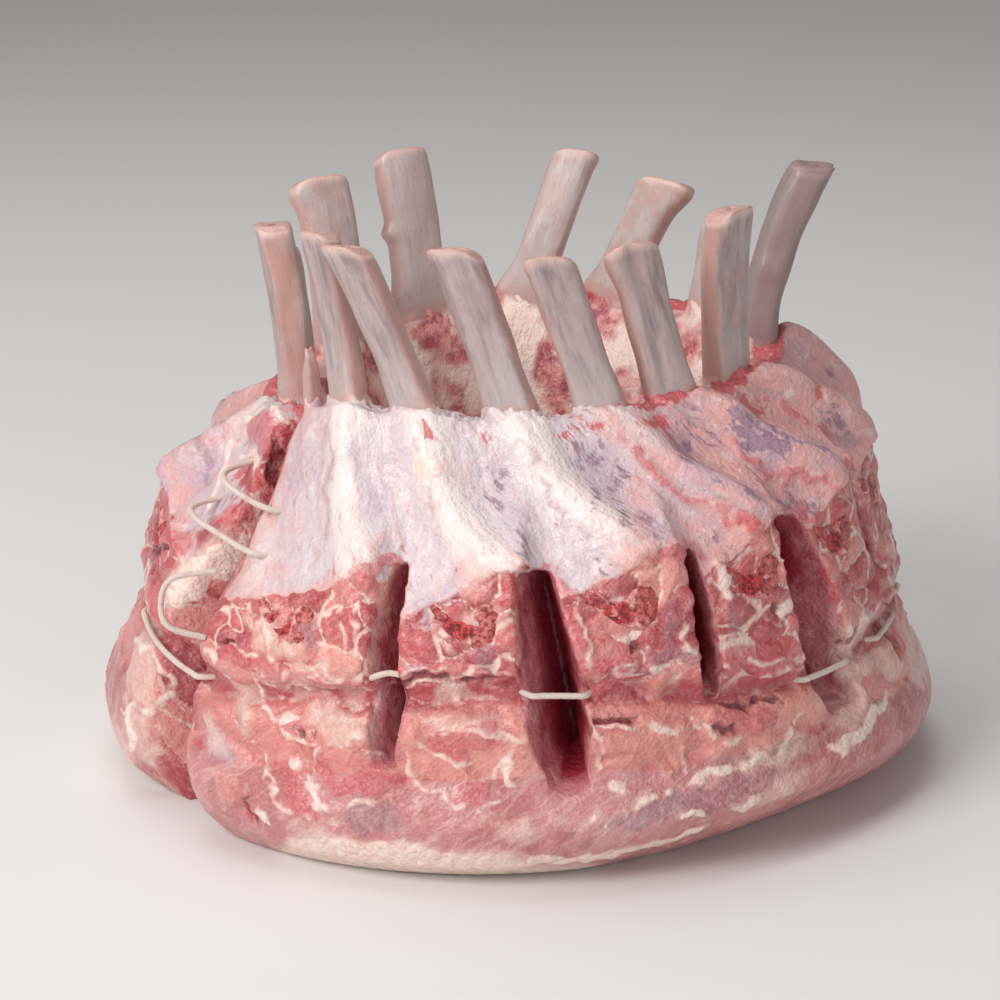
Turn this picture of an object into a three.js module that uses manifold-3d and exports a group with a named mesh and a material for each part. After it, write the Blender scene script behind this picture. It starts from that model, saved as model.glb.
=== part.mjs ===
// A raw crown roast of lamb: two frenched racks bent into a ring, ribs up, tied with twine.
// Millimetres, +Z up. Azimuths are in degrees, anticlockwise from +X, so 270 is the front.
import * as THREE from 'three';
import { mergeVertices } from 'three/addons/utils/BufferGeometryUtils.js';
import Module from 'manifold-3d';

const wasm = await Module();
wasm.setup();

// ---- driving dimensions ----

const gap = 0.3;             // air between touching pieces

// The cut section through the ring, from the rim down the outside, under and up the hollow.
// Each line has its distance from the crown's axis and its height, every 45 degrees from 0.
const section = {
  crest: { r: [76, 75, 74, 72, 73, 81, 74, 76], z: [123, 122, 119, 115, 106, 119, 120, 122] },
  shoulder: { r: [87, 84, 82, 81, 82, 87, 82, 85], z: [115, 112, 107, 101, 99, 104, 107, 112] },
  slope: { r: [96, 95, 94, 92, 92, 95, 94, 97], z: [106, 101, 96, 91, 94, 90, 96, 102] },
  edge: { r: [101, 104, 106, 105, 104, 108, 106, 104], z: [97, 90, 84, 79, 83, 75, 84, 91] },
  face: { r: [107, 109, 111, 110, 110, 114, 112, 109], z: [77, 72, 67, 65, 66, 62, 68, 70] },
  overhang: { r: [114, 113, 112, 112, 113, 116, 113, 111], z: [58, 57, 58, 58, 56, 52, 60, 54] },
  crease: { r: [110, 109, 109, 109, 110, 113, 109, 108], z: [49, 51, 53, 52, 50, 46, 55, 47] },
  lip: { r: [116, 115, 115, 115, 117, 118, 115, 113], z: [40, 43, 45, 44, 43, 38, 47, 40] },
  step: { r: [119, 116, 114, 115, 119, 118, 113, 112], z: [31, 32, 33, 33, 34, 29, 33, 32] },
  belly: { r: [123, 121, 118, 120, 124, 121, 118, 118], z: [19, 20, 21, 21, 20, 19, 20, 20] },
  turn: { r: [119, 116, 113, 114, 119, 117, 112, 104], z: [6, 7, 7, 7, 6, 7, 7, 7] },
  foot: { r: [110, 107, 101, 103, 109, 110, 101, 93], z: [0, 0, 0, 0, 0, 0, 0, 0] },
  heel: { r: [62, 62, 62, 62, 62, 62, 62, 62], z: [0, 0, 0, 0, 0, 0, 0, 0] },
  hollowLow: { r: [50, 50, 50, 50, 50, 50, 50, 50], z: [14, 14, 14, 14, 14, 14, 14, 14] },
  hollowHigh: { r: [50, 50, 50, 50, 50, 52, 50, 50], z: [72, 72, 70, 70, 70, 72, 72, 72] },
  brim: { r: [62, 61, 60, 59, 60, 65, 60, 62], z: [120, 119, 116, 113, 105, 116, 117, 119] },
};
const spanSteps = {          // mesh steps from each line of the section to the next
  crest: 2, shoulder: 2, slope: 2, edge: 2, face: 2, overhang: 1, crease: 1, lip: 1,
  step: 2, belly: 2, turn: 1, foot: 1, heel: 1, hollowLow: 2, hollowHigh: 2, brim: 1,
};

// A rack runs from one end azimuth to the other. Each end leans as it goes out from the rim.
const racks = [
  { name: 'front', start: 220, startLean: -3, end: 378, endLean: 6, steps: 50, grain: 1 },
  { name: 'back', start: 22, startLean: 6, end: 216.5, endLean: -11, steps: 54, grain: -1 },
];
const rimRadius = 72;        // where the ends' azimuths are given
const leanReach = 50;        // the distance outward over which an end takes its whole lean
const leanInside = -0.15;    // least share of the lean, inside the rim
const endRound = [4, 1];     // how far the section draws in at an end, and one step on
const heart = { r: 84, z: 55 };   // the middle of the section
const heartReach = 35;       // from there to the surface, about

// Ribs: azimuth and distance from the axis where they leave the meat and at their sawn tops,
// the height of the top, width, thickness, and where the rib ends in the sawn chine.
const ribs = {
  front: [
    { foot: [230.5, 74], tip: [220, 72.5, 165], wide: 14, thick: 10, chine: 246 },
    { foot: [247, 73], tip: [234.3, 81, 165], wide: 14, thick: 10, chine: 267 },
    { foot: [268, 69], tip: [256, 75, 166], wide: 16, thick: 10, chine: 289 },
    { foot: [288, 70], tip: [275, 76, 163.5], wide: 15, thick: 10, chine: 310 },
    { foot: [306, 70], tip: [292.5, 76, 166], wide: 15.5, thick: 10.5, chine: 331 },
    { foot: [328, 68], tip: [320, 74, 171.5], wide: 15, thick: 11, chine: 352 },
    { foot: [362, 68.5], tip: [363, 84.5, 175], wide: 15, thick: 13, chine: 372, bow: 0.2 },
  ],
  back: [
    { foot: [36, 70], tip: [36, 76, 149], wide: 14, thick: 10, chine: 31 },
    { foot: [66, 69], tip: [53, 75, 157.5], wide: 16, thick: 11, chine: 52 },
    { foot: [89, 68], tip: [76.5, 77, 163.5], wide: 15.5, thick: 11, chine: 73 },
    { foot: [117, 67], tip: [120, 76, 165.5], wide: 17.5, thick: 10.5, chine: 99 },
    { foot: [145, 66], tip: [142, 78, 160.5], wide: 19, thick: 11, chine: 125, turn: -25 },
    { foot: [171, 66], tip: [171, 71, 148], wide: 14, thick: 10, chine: 152 },
    { foot: [197, 67], tip: [188, 71.5, 160], wide: 15, thick: 12.5, chine: 186 },
  ],
};
const ribSliver = { foot: [222.8, 77.5], tip: [222.3, 78.5, 134.5], wide: 4, thick: 5.5 };
const ribSunk = 16;          // length of rib below the rim
const ribBow = 0.09;         // bend towards the axis, as a share of the rib's bare length
const ribLevel = 0.8;        // how nearly level the sawn tops are
const ribFlare = 1.1;        // width at the buried end, as a share of the rib's width
const ribWaist = 0.17;       // how much narrower it is half way up
const ribTaper = 0.04;       // and how much narrower at the top
const waistPlace = 1.15;     // more than 1 puts the waist below the middle
const ribSides = 8;
const ribSteps = 6;
const ribSocketSteps = 3;
const ribRidge = 3.4;        // how far a rib stands out under the membrane
const ribRidgeWidth = 6.5;
const ribSlope = 34;         // distance outward from the rim to where the ribs are sawn off

// Saw cuts between the chine blocks: azimuth at the top and bottom, heights at the mouth,
// width of the mouth, and depth from the face.
const cuts = {
  front: [
    { az: [250.3, 252.5], z: [91, 33], wide: 9, deep: 26 },
    { az: [271.5, 277.5], z: [90, 28], wide: 18, deep: 27 },
    { az: [295.5, 299], z: [92, 47], wide: 7, deep: 27 },
    { az: [314.5, 325], z: [95, 33], wide: 22, deep: 25 },
    { az: [336, 345], z: [99, 38], wide: 9, deep: 24 },
    { az: [356.5, 363], z: [101, 38], wide: 11, deep: 24 },
  ],
  back: [
    { az: [47, 43], z: [92, 36], wide: 10, deep: 25 },
    { az: [68, 63], z: [88, 34], wide: 14, deep: 26 },
    { az: [94, 90], z: [86, 34], wide: 8, deep: 25 },
    { az: [120, 116], z: [85, 33], wide: 13, deep: 26 },
    { az: [147, 143], z: [88, 34], wide: 9, deep: 25 },
    { az: [181, 177], z: [91, 36], wide: 10, deep: 24 },
  ],
};
const cutBeyond = 24;        // how far the cutter reaches out past the face
const cutSlope = 9;          // a cut grows taller towards its mouth, by this much at each end
const cutRoot = 1;           // width at the root
const cutLean = 2.5;         // a cut's root lies this many degrees towards its block's rib corner
// A mouth widens from its lower end and narrows again to its top.
const cutMouth = { low: 0.35, widens: 1.9, high: 1.25, narrows: 0.9, curl: 0.25, least: 0.25 };
const cutLowSlope = 0.7;     // the lower end of a cut slopes less, by this share
const seamHeights = [30, 95];   // where a cut's bottom and top azimuths are taken to lie
const edgeRise = 7;          // a block's top edge climbs towards the corner where its rib ends
const riseShares = { slope: 0.35, edge: 1, face: 0.3 };
const blockHollow = 2;       // how far the sawn face falls short of the arc between two cuts
const hollowShares = { edge: 0.7, face: 1, overhang: 1, lip: 0.8, step: 0.3 };

// The sawn vertebra that shows in each block's face: across and up, from its middle.
const vertebraOutline = [
  [-12, 4], [-8, 5.5], [-3, 1.5], [2, 2], [6, 5.5], [11.5, 4.5],
  [11, -4], [7, -7.5], [-1, -5.5], [-8, -1],
];
const vertebraDepth = 7;
const vertebraProud = 0.6;
const vertebraAside = 0.02;  // off the middle of its block, towards the rib's corner
const socketBeyond = 4;      // the socket's cutter reaches this far out past the face

const twineRadius = 0.9;
const twineSides = 6;
const hoopSteps = 64;
const hoopGuide = 10;        // radius of the plain ring that is laid in the crease
const stitchSteps = 9;
const twineStand = 2;        // the hoop's middle stands this far out of the crease
// Stitches across the two joins: azimuth, distance from the axis and height, end to end.
const stitches = {
  stitch_left_upper: [
    [213.5, 87, 98], [214.5, 98.5, 98.5], [219, 99, 95.5], [224, 94.5, 92], [226, 84, 90]],
  stitch_left_lower: [
    [207.5, 89, 87], [208.5, 100.5, 85.5], [216, 103.5, 84], [225, 103, 82], [227, 92, 79]],
  stitch_left_edge: [
    [221, 104, 78], [216, 119, 76], [215.5, 121, 68], [217, 121.5, 61], [222, 110, 57]],
  stitch_back_upper: [
    [14, 88, 100], [14.5, 99, 104], [20, 101, 103], [27.5, 99, 102.5], [29, 88, 99]],
  stitch_back_lower: [
    [14, 96, 64], [14.5, 109, 66], [21, 111.5, 66], [27.5, 111, 65], [28.5, 97, 63]],
};

// ---- helpers ----

const lerp = THREE.MathUtils.lerp;
const clamp = THREE.MathUtils.clamp;

function polar(azimuth, radius, height) {
  const angle = THREE.MathUtils.degToRad(azimuth);
  return new THREE.Vector3(radius * Math.cos(angle), radius * Math.sin(angle), height);
}

// Eight values round the crown, joined smoothly.
function around(values, azimuth) {
  const place = ((azimuth % 360) + 360) % 360 / 45;
  const low = Math.floor(place);
  const at = (index) => values[(index + 8) % 8];
  const slopeLow = (at(low + 1) - at(low - 1)) / 2;
  const slopeHigh = (at(low + 2) - at(low)) / 2;
  const t = place - low;
  return (2 * t ** 3 - 3 * t * t + 1) * at(low) + (t ** 3 - 2 * t * t + t) * slopeLow
    + (3 * t * t - 2 * t ** 3) * at(low + 1) + (t ** 3 - t * t) * slopeHigh;
}

// Moves every vertex of a closed three.js geometry, and leaves its faces pointing out.
function reshape(geometry, place) {
  geometry.deleteAttribute('normal');
  geometry.deleteAttribute('uv');
  const merged = mergeVertices(geometry, 1e-5);
  const spots = merged.attributes.position;
  for (let i = 0; i < spots.count; i += 1) {
    const spot = place(spots.getX(i), spots.getY(i), spots.getZ(i));
    spots.setXYZ(i, spot.x, spot.y, spot.z);
  }
  if (volume(merged) < 0) {
    const turned = merged.index.array.slice();
    for (let i = 0; i < turned.length; i += 3) {
      [turned[i], turned[i + 1]] = [turned[i + 1], turned[i]];
    }
    merged.setIndex(new THREE.BufferAttribute(turned, 1));
  }
  return merged;
}

function volume(geometry) {
  const spots = geometry.attributes.position;
  const corners = geometry.index.array;
  const corner = (i) => new THREE.Vector3().fromBufferAttribute(spots, corners[i]);
  let total = 0;
  for (let i = 0; i < corners.length; i += 3) {
    total += corner(i).dot(corner(i + 1).cross(corner(i + 2))) / 6;
  }
  return total;
}

function solid(geometry) {
  return new wasm.Manifold(new wasm.Mesh({
    numProp: 3,
    vertProperties: new Float32Array(geometry.attributes.position.array),
    triVerts: new Uint32Array(geometry.index.array),
  }));
}

function fromSolid(body) {
  const cut = body.getMesh();
  const geometry = new THREE.BufferGeometry();
  geometry.setAttribute('position', new THREE.BufferAttribute(cut.vertProperties, 3));
  geometry.setIndex(new THREE.BufferAttribute(cut.triVerts, 1));
  return geometry;
}

// The largest piece left after a cut, without loose scraps.
function mainPiece(body) {
  return body.decompose().reduce((a, b) => (a.volume() > b.volume() ? a : b));
}

// ---- the meat ----

const lines = Object.keys(section);
const membraneLines = 3;     // ribs stand out from the crest down to the edge
const edgeFade = 0.4;        // what is left of a rib's relief below the edge

// How far across its chine block an azimuth lies: 0 at the low end, 1 at the high end.
function acrossBlock(rack, azimuth, height) {
  const high = clamp((height - seamHeights[0]) / (seamHeights[1] - seamHeights[0]), 0, 1);
  const seams = cuts[rack.name].map((cut) => lerp(cut.az[1], cut.az[0], high));
  seams.unshift(rack.start + rack.startLean);
  seams.push(rack.end + rack.endLean);
  const next = Math.max(1, seams.findIndex((seam) => seam > azimuth));
  return clamp((azimuth - seams[next - 1]) / (seams[next] - seams[next - 1]), 0, 1);
}

function sectionAt(rack, azimuth) {
  const top = acrossBlock(rack, azimuth, seamHeights[1]);
  const climb = (rack.grain > 0 ? top : 1 - top) - 0.5;
  return lines.map((line) => {
    const across = acrossBlock(rack, azimuth, around(section[line].z, azimuth));
    const flat = 1 - (2 * across - 1) ** 2;
    const r = around(section[line].r, azimuth) - blockHollow * (hollowShares[line] ?? 0) * flat;
    const z = around(section[line].z, azimuth) + 2 * edgeRise * (riseShares[line] ?? 0) * climb;
    return new THREE.Vector3(r, z, 0);
  });
}

const spanEnds = [];         // the share of the way round the section at which each line lies
let stepsSoFar = 0;
const stepsAll = lines.reduce((sum, line) => sum + spanSteps[line], 0);
for (const line of lines) {
  spanEnds.push(stepsSoFar);
  stepsSoFar += spanSteps[line];
}

// The point at one step round the section, with the ribs standing out under the membrane.
function meatPoint(rack, azimuth, step) {
  const curve = new THREE.CatmullRomCurve3(sectionAt(rack, azimuth), true, 'centripetal');
  let line = 0;
  while (line + 1 < lines.length && spanEnds[line + 1] <= step) line += 1;
  const share = (line + (step - spanEnds[line]) / spanSteps[lines[line]]) / lines.length;
  const spot = curve.getPoint(share);
  const along = curve.getTangent(share);
  const outward = new THREE.Vector3(-along.y, along.x, 0);
  const down = clamp((spot.x - rimRadius) / ribSlope, 0, 1);
  let ridge = 0;
  if (line <= membraneLines) {
    for (const rib of ribs[rack.name]) {
      const middle = lerp(rib.foot[0], rib.chine, down);
      const off = THREE.MathUtils.degToRad(azimuth - middle) * spot.x / ribRidgeWidth;
      ridge = Math.max(ridge, ribRidge * Math.exp(-off * off));
    }
    if (line === membraneLines) ridge *= edgeFade;
  }
  spot.addScaledVector(outward, ridge);
  return { r: spot.x, z: Math.max(spot.y, 0) };
}

// A cylinder's length becomes the way round the crown and its rim becomes the section.
function rackSolid(rack) {
  const bar = new THREE.CylinderGeometry(1, 1, 1, stepsAll, rack.steps);
  const ends = (u, r) => {
    const lean = Math.max(leanInside, (r - rimRadius) / leanReach);
    return lerp(rack.start + rack.startLean * lean, rack.end + rack.endLean * lean, u);
  };
  return solid(reshape(bar, (x, y, z) => {
    const u = y + 0.5;
    if (Math.hypot(x, z) < 0.5) return polar(ends(u, heart.r), heart.r, heart.z);
    const turn = Math.atan2(x, z) / (2 * Math.PI);
    const step = Math.round(((turn + 1) % 1) * stepsAll) % stepsAll;
    const first = meatPoint(rack, ends(u, rimRadius), step);
    const azimuth = ends(u, first.r);
    const spot = meatPoint(rack, azimuth, step);
    const fromEnd = Math.round(Math.min(u, 1 - u) * rack.steps);
    const share = 1 - (endRound[fromEnd] ?? 0) / heartReach;
    const height = spot.z > 0 ? lerp(heart.z, spot.z, share) : 0;
    return polar(azimuth, lerp(heart.r, spot.r, share), height);
  }));
}

// A saw cut: a box squeezed to a wedge that opens outward, and is widest half way down.
function cutSolid(cut, face, lean) {
  const wedge = new THREE.BoxGeometry(1, 1, 1, 1, 1, 4);
  return solid(reshape(wedge, (x, y, z) => {
    const v = z + 0.5;
    const atRoot = y < 0;
    const radius = atRoot ? face - cut.deep : face + cutBeyond;
    const low = cut.z[1] + (atRoot ? cutSlope : -cutSlope * cutLowSlope);
    const high = cut.z[0] + (atRoot ? -cutSlope : cutSlope);
    const rising = Math.min(1, cutMouth.low + cutMouth.widens * v);
    const falling = Math.min(1, cutMouth.high - cutMouth.narrows * v + cutMouth.curl * v * v);
    const belly = lerp(cutMouth.least, 1, rising * falling);
    const mouth = cut.wide * belly * (cut.deep + cutBeyond) / cut.deep;
    const width = atRoot ? cutRoot : mouth;
    const side = THREE.MathUtils.radToDeg(x * width / radius);
    const aim = (face - radius) / cut.deep * lean;
    return polar(lerp(cut.az[1], cut.az[0], v) + aim + side, radius, lerp(low, high, v));
  }));
}

// ---- ribs ----

// grow makes the socket's cutter, from the lowest steps of the same rib.
function ribGeometry(rib, grow = 0) {
  const tip = polar(...rib.tip);
  const foot = polar(...rib.foot, around(section.crest.z, rib.foot[0]));
  const rise = tip.clone().sub(foot);
  const sunk = foot.clone().addScaledVector(rise.clone().normalize(), -ribSunk);
  sunk.add(polar(rib.foot[0], 2, 0));
  const bend = polar(rib.foot[0], -(rib.bow ?? ribBow) * rise.length(), 0);
  const middle = sunk.clone().lerp(tip, 0.5).add(bend);
  const spine = new THREE.QuadraticBezierCurve3(sunk, middle, tip);
  const across = polar(rib.foot[0] + 90 + (rib.turn ?? 0), 1, 0);
  const shown = grow ? ribSocketSteps : ribSteps;
  return reshape(new THREE.CylinderGeometry(1, 1, 1, ribSides, shown), (x, y, z) => {
    const t = (y + 0.5) * shown / ribSteps;
    const along = spine.getTangent(t);
    const side = across.clone().addScaledVector(along, -across.dot(along)).normalize();
    const out = new THREE.Vector3().crossVectors(side, along);
    const pinch = ribWaist * Math.sin(Math.PI * Math.min(1, t * waistPlace));
    const waist = ribFlare - pinch - ribTaper * t;
    const spread = side.multiplyScalar(x * (rib.wide / 2 * waist + grow));
    spread.addScaledVector(out, z * (rib.thick / 2 * waist + grow));
    if (t > 0.999) spread.addScaledVector(along, -ribLevel * spread.z / along.z);
    if (grow && t < 0.001) spread.addScaledVector(along, -grow);
    return spine.getPoint(t).add(spread);
  });
}

// ---- sawn vertebrae ----

// Moves a closed outline's corners outward, square to its sides.
function grown(outline, by) {
  const count = outline.length;
  const area = outline.reduce((sum, [x, y], i) => {
    const [nextX, nextY] = outline[(i + 1) % count];
    return sum + x * nextY - nextX * y;
  }, 0);
  return outline.map(([x, y], i) => {
    const [beforeX, beforeY] = outline[(i + count - 1) % count];
    const [afterX, afterY] = outline[(i + 1) % count];
    const into = new THREE.Vector2(x - beforeX, y - beforeY).normalize();
    const away = new THREE.Vector2(afterX - x, afterY - y).normalize();
    const side = Math.sign(area);
    const normal = new THREE.Vector2(into.y + away.y, -into.x - away.x).multiplyScalar(side);
    const stretch = by * 2 / normal.lengthSq();
    return new THREE.Vector2(x, y).addScaledVector(normal, stretch);
  });
}

// The outline is pushed into the block's face; grow makes the socket's cutter.
function vertebraGeometry(seat, mirrored, grow = 0) {
  const shape = new THREE.Shape(grown(vertebraOutline, grow));
  const depth = vertebraDepth + vertebraProud + (grow ? socketBeyond + grow : 0);
  const slab = new THREE.ExtrudeGeometry(shape, { depth, bevelEnabled: false, steps: 1 });
  const across = polar(seat.azimuth + 90, mirrored ? -1 : 1, 0);
  const out = polar(seat.azimuth, Math.cos(seat.tilt), Math.sin(seat.tilt));
  const up = polar(seat.azimuth, -Math.sin(seat.tilt), Math.cos(seat.tilt));
  const back = seat.spot.clone().addScaledVector(out, -vertebraDepth - grow);
  return reshape(slab, (x, y, z) => back.clone().addScaledVector(across, x)
    .addScaledVector(up, y).addScaledVector(out, z));
}

// One seat in each block, on the side where the block's rib ends.
function vertebraSeats(rack) {
  const seams = cuts[rack.name].map((cut) => cut.az[0]);
  seams.unshift(rack.start + rack.startLean);
  seams.push(rack.end + rack.endLean);
  return seams.slice(1).map((seam, index) => {
    const share = 0.5 + vertebraAside * rack.grain;
    const azimuth = lerp(seams[index], seam, share);
    const points = sectionAt(rack, azimuth);
    const edge = points[lines.indexOf('edge')];
    const face = points[lines.indexOf('face')];
    const spot = edge.clone().lerp(face, 0.5);
    return {
      azimuth,
      tilt: Math.atan2(face.x - edge.x, edge.y - face.y),
      spot: polar(azimuth, spot.x, spot.y),
    };
  });
}

// ---- twine ----

function hoopGeometry() {
  const ring = new THREE.TorusGeometry(hoopGuide, 1, twineSides, hoopSteps);
  return reshape(ring, (x, y, z) => {
    const azimuth = THREE.MathUtils.radToDeg(Math.atan2(y, x));
    const off = Math.hypot(x, y) - hoopGuide;
    const radius = around(section.crease.r, azimuth) + twineStand + off * twineRadius;
    return polar(azimuth, radius, around(section.crease.z, azimuth) + z * twineRadius);
  });
}

function strandGeometry(route, radius) {
  const spots = route.map((spot) => polar(...spot));
  const extrudePath = new THREE.CatmullRomCurve3(spots, false, 'centripetal');
  const corners = Array.from({ length: twineSides }, (_, i) => {
    const turn = i * 2 * Math.PI / twineSides;
    return new THREE.Vector2(radius * Math.cos(turn), radius * Math.sin(turn));
  });
  const shape = new THREE.Shape(corners);
  const tube = new THREE.ExtrudeGeometry(shape, { steps: stitchSteps, extrudePath });
  return reshape(tube, (x, y, z) => new THREE.Vector3(x, y, z));
}

// ---- assembly ----

const looks = {
  meat: { color: '#d39a9c', roughness: 0.45, metalness: 0 },
  bone: { color: '#b9b0ae', roughness: 0.5, metalness: 0 },
  spongyBone: { color: '#a8454a', roughness: 0.55, metalness: 0 },
  twine: { color: '#e8e0d2', roughness: 0.9, metalness: 0 },
};

const crown = new THREE.Group();

function addPiece(name, geometry, look) {
  const piece = new THREE.Mesh(geometry, new THREE.MeshStandardMaterial(look));
  piece.name = name;
  crown.add(piece);
}

for (const rack of racks) {
  let meat = rackSolid(rack);
  for (const cut of cuts[rack.name]) {
    meat = meat.subtract(cutSolid(cut, around(section.face.r, cut.az[0]), cutLean * rack.grain));
  }
  ribs[rack.name].forEach((rib, index) => {
    meat = meat.subtract(solid(ribGeometry(rib, gap)));
    addPiece(`rib_${rack.name}_${index + 1}`, ribGeometry(rib), looks.bone);
  });
  vertebraSeats(rack).forEach((seat, index) => {
    meat = meat.subtract(solid(vertebraGeometry(seat, rack.grain < 0, gap)));
    addPiece(`vertebra_${rack.name}_${index + 1}`, vertebraGeometry(seat, rack.grain < 0),
      looks.spongyBone);
  });
  if (rack.name === 'front') {
    meat = meat.subtract(solid(ribGeometry(ribSliver, gap)));
    addPiece('rib_front_sliver', ribGeometry(ribSliver), looks.bone);
  }
  for (const route of Object.values(stitches)) {
    meat = meat.subtract(solid(strandGeometry(route, twineRadius + gap)));
  }
  addPiece(`rack_${rack.name}`, fromSolid(mainPiece(meat)), looks.meat);
}

addPiece('twine_hoop', hoopGeometry(), looks.twine);
for (const [name, route] of Object.entries(stitches)) {
  addPiece(name, strandGeometry(route, twineRadius), looks.twine);
}

export default crown;
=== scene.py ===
import math

import bmesh
import bpy
import numpy as np
from mathutils import Matrix, Vector, noise


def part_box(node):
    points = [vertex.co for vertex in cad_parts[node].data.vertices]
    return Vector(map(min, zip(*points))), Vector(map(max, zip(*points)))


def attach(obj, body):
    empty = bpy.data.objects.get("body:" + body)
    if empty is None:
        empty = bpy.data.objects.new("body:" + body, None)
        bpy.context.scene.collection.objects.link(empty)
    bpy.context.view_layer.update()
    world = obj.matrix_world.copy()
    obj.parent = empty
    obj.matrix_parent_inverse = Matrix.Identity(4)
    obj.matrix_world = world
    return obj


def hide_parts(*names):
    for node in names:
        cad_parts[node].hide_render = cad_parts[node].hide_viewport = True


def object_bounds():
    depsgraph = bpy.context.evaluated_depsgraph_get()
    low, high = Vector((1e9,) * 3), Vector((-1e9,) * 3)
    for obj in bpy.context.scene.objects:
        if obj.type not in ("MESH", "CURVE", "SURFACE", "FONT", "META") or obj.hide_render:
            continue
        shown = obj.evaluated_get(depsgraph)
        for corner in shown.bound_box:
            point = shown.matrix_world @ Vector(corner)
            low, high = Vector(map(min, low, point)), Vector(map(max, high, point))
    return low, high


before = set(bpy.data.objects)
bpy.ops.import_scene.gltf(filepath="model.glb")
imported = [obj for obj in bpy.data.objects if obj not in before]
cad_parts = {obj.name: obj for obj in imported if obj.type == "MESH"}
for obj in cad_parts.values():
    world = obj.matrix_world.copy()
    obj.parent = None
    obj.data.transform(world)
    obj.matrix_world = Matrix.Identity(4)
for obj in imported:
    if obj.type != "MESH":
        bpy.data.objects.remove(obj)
cadLow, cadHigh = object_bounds()
print("frame loaded")

# Lengths in the dictionaries are millimetres and azimuths are degrees, anticlockwise from +X,
# so 270 is the front. Meshes are in metres.
mm = 0.001


def addObject(name, data):
    made = bpy.data.objects.new(name, data)
    bpy.context.scene.collection.objects.link(made)
    return made


view = {
    "distance": 880, "elevation": 16.4, "target": (0, 0, 90),
    "lens": 107.7, "shift": (-0.021, -0.0508),
}


def makeCamera():
    data = bpy.data.cameras.new("camera")
    data.lens = view["lens"]
    data.shift_x, data.shift_y = view["shift"]
    camera = addObject("camera", data)
    elevation = math.radians(view["elevation"])
    back = Vector((0, -math.cos(elevation), math.sin(elevation)))
    camera.location = (Vector(view["target"]) + back * view["distance"]) * mm
    camera.rotation_euler = (math.pi / 2 - elevation, 0, 0)
    bpy.context.scene.camera = camera


studio = {
    "floor": (0.80, 0.79, 0.78), "floorRadius": 9, "floorRoughness": 0.8,
    "world": (1.0, 0.985, 0.97), "worldStrength": 0.24,
    "lamps": [  # name, place and aim in millimetres, size in metres, watts, colour
        ("key", (-860, -900, 900), (0, 0, 70), 0.7, 15.0, (1.0, 0.985, 0.96)),
        ("top", (-200, 150, 1300), (0, 0, 100), 1.0, 6.5, (1.0, 1.0, 1.0)),
        ("fill", (420, -1250, 240), (0, 0, 60), 1.0, 4.3, (0.98, 0.985, 1.0)),
    ],
}


def makeStudio():
    floor = bpy.data.meshes.new("floor")
    shape = bmesh.new()
    bmesh.ops.create_circle(shape, cap_ends=True, segments=64, radius=studio["floorRadius"])
    shape.to_mesh(floor)
    shape.free()
    matte = bpy.data.materials.new("floor")
    matte.use_nodes = True
    surface = matte.node_tree.nodes["Principled BSDF"]
    surface.inputs["Base Color"].default_value = (*studio["floor"], 1)
    surface.inputs["Roughness"].default_value = studio["floorRoughness"]
    floor.materials.append(matte)
    addObject("floor", floor)
    world = bpy.data.worlds.new("world")
    world.use_nodes = True
    sky = world.node_tree.nodes["Background"]
    sky.inputs["Color"].default_value = (*studio["world"], 1)
    sky.inputs["Strength"].default_value = studio["worldStrength"]
    bpy.context.scene.world = world
    for name, place, aim, size, watts, tint in studio["lamps"]:
        data = bpy.data.lights.new(name, "AREA")
        data.size, data.energy, data.color = size, watts, tint
        lamp = addObject(name, data)
        lamp.location = Vector(place) * mm
        lamp.rotation_euler = (Vector(place) - Vector(aim)).to_track_quat("Z", "Y").to_euler()


makeCamera()
makeStudio()
bpy.context.scene.view_settings.view_transform = "Standard"
print("camera, floor and lights made")


def addNode(tree, kind, inputs=None, **settings):
    made = tree.nodes.new(kind)
    for name, value in settings.items():
        setattr(made, name, value)
    for key, value in (inputs or {}).items():
        if isinstance(value, bpy.types.NodeSocket):
            tree.links.new(value, made.inputs[key])
        else:
            made.inputs[key].default_value = value
    return made


def addMath(tree, operation, a, b=0.5):
    return addNode(tree, "ShaderNodeMath", {0: a, 1: b}, operation=operation).outputs[0]


def times(tree, a, b):
    return addMath(tree, "MULTIPLY", a, b)


def plus(tree, a, b):
    return addMath(tree, "ADD", a, b)


def minus(tree, a, b):
    return addMath(tree, "SUBTRACT", a, b)


def apart(tree, a, b):
    # how far two values are from each other
    return addMath(tree, "ABSOLUTE", minus(tree, a, b))


def addMix(tree, factor, a, b):
    colors = [c if isinstance(c, bpy.types.NodeSocket) else (*c, 1) for c in (a, b)]
    made = addNode(tree, "ShaderNodeMix", {0: factor, 6: colors[0], 7: colors[1]},
                   data_type="RGBA")
    return made.outputs[2]


def addRange(tree, value, low, high, start=0.0, end=1.0):
    return addNode(tree, "ShaderNodeMapRange", {0: value, 1: low, 2: high, 3: start, 4: end},
                   interpolation_type="SMOOTHSTEP").outputs[0]


def layer(tree, under, mask, tint, *span):
    # a tint laid over a colour where a mask is 1, or where it has risen through a span
    return addMix(tree, addRange(tree, mask, *span) if span else mask, under, tint)


def addNoise(tree, place, size, detail=3.0, roughness=0.55, stretch=(1, 1, 1), warp=0.0):
    # size is in millimetres, and stretch lengthens the pattern along each direction
    scaled = addNode(tree, "ShaderNodeVectorMath",
                     {0: place, 1: [1 / (size * s) for s in stretch]}, operation="MULTIPLY")
    return addNode(tree, "ShaderNodeTexNoise",
                   {"Vector": scaled.outputs[0], "Scale": 1.0, "Detail": detail,
                    "Roughness": roughness, "Distortion": warp}).outputs["Fac"]


def addAttribute(tree, name):
    return addNode(tree, "ShaderNodeAttribute", attribute_name=name)


def masksOf(tree, names):
    return {name: addAttribute(tree, name).outputs["Fac"] for name in names}


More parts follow.
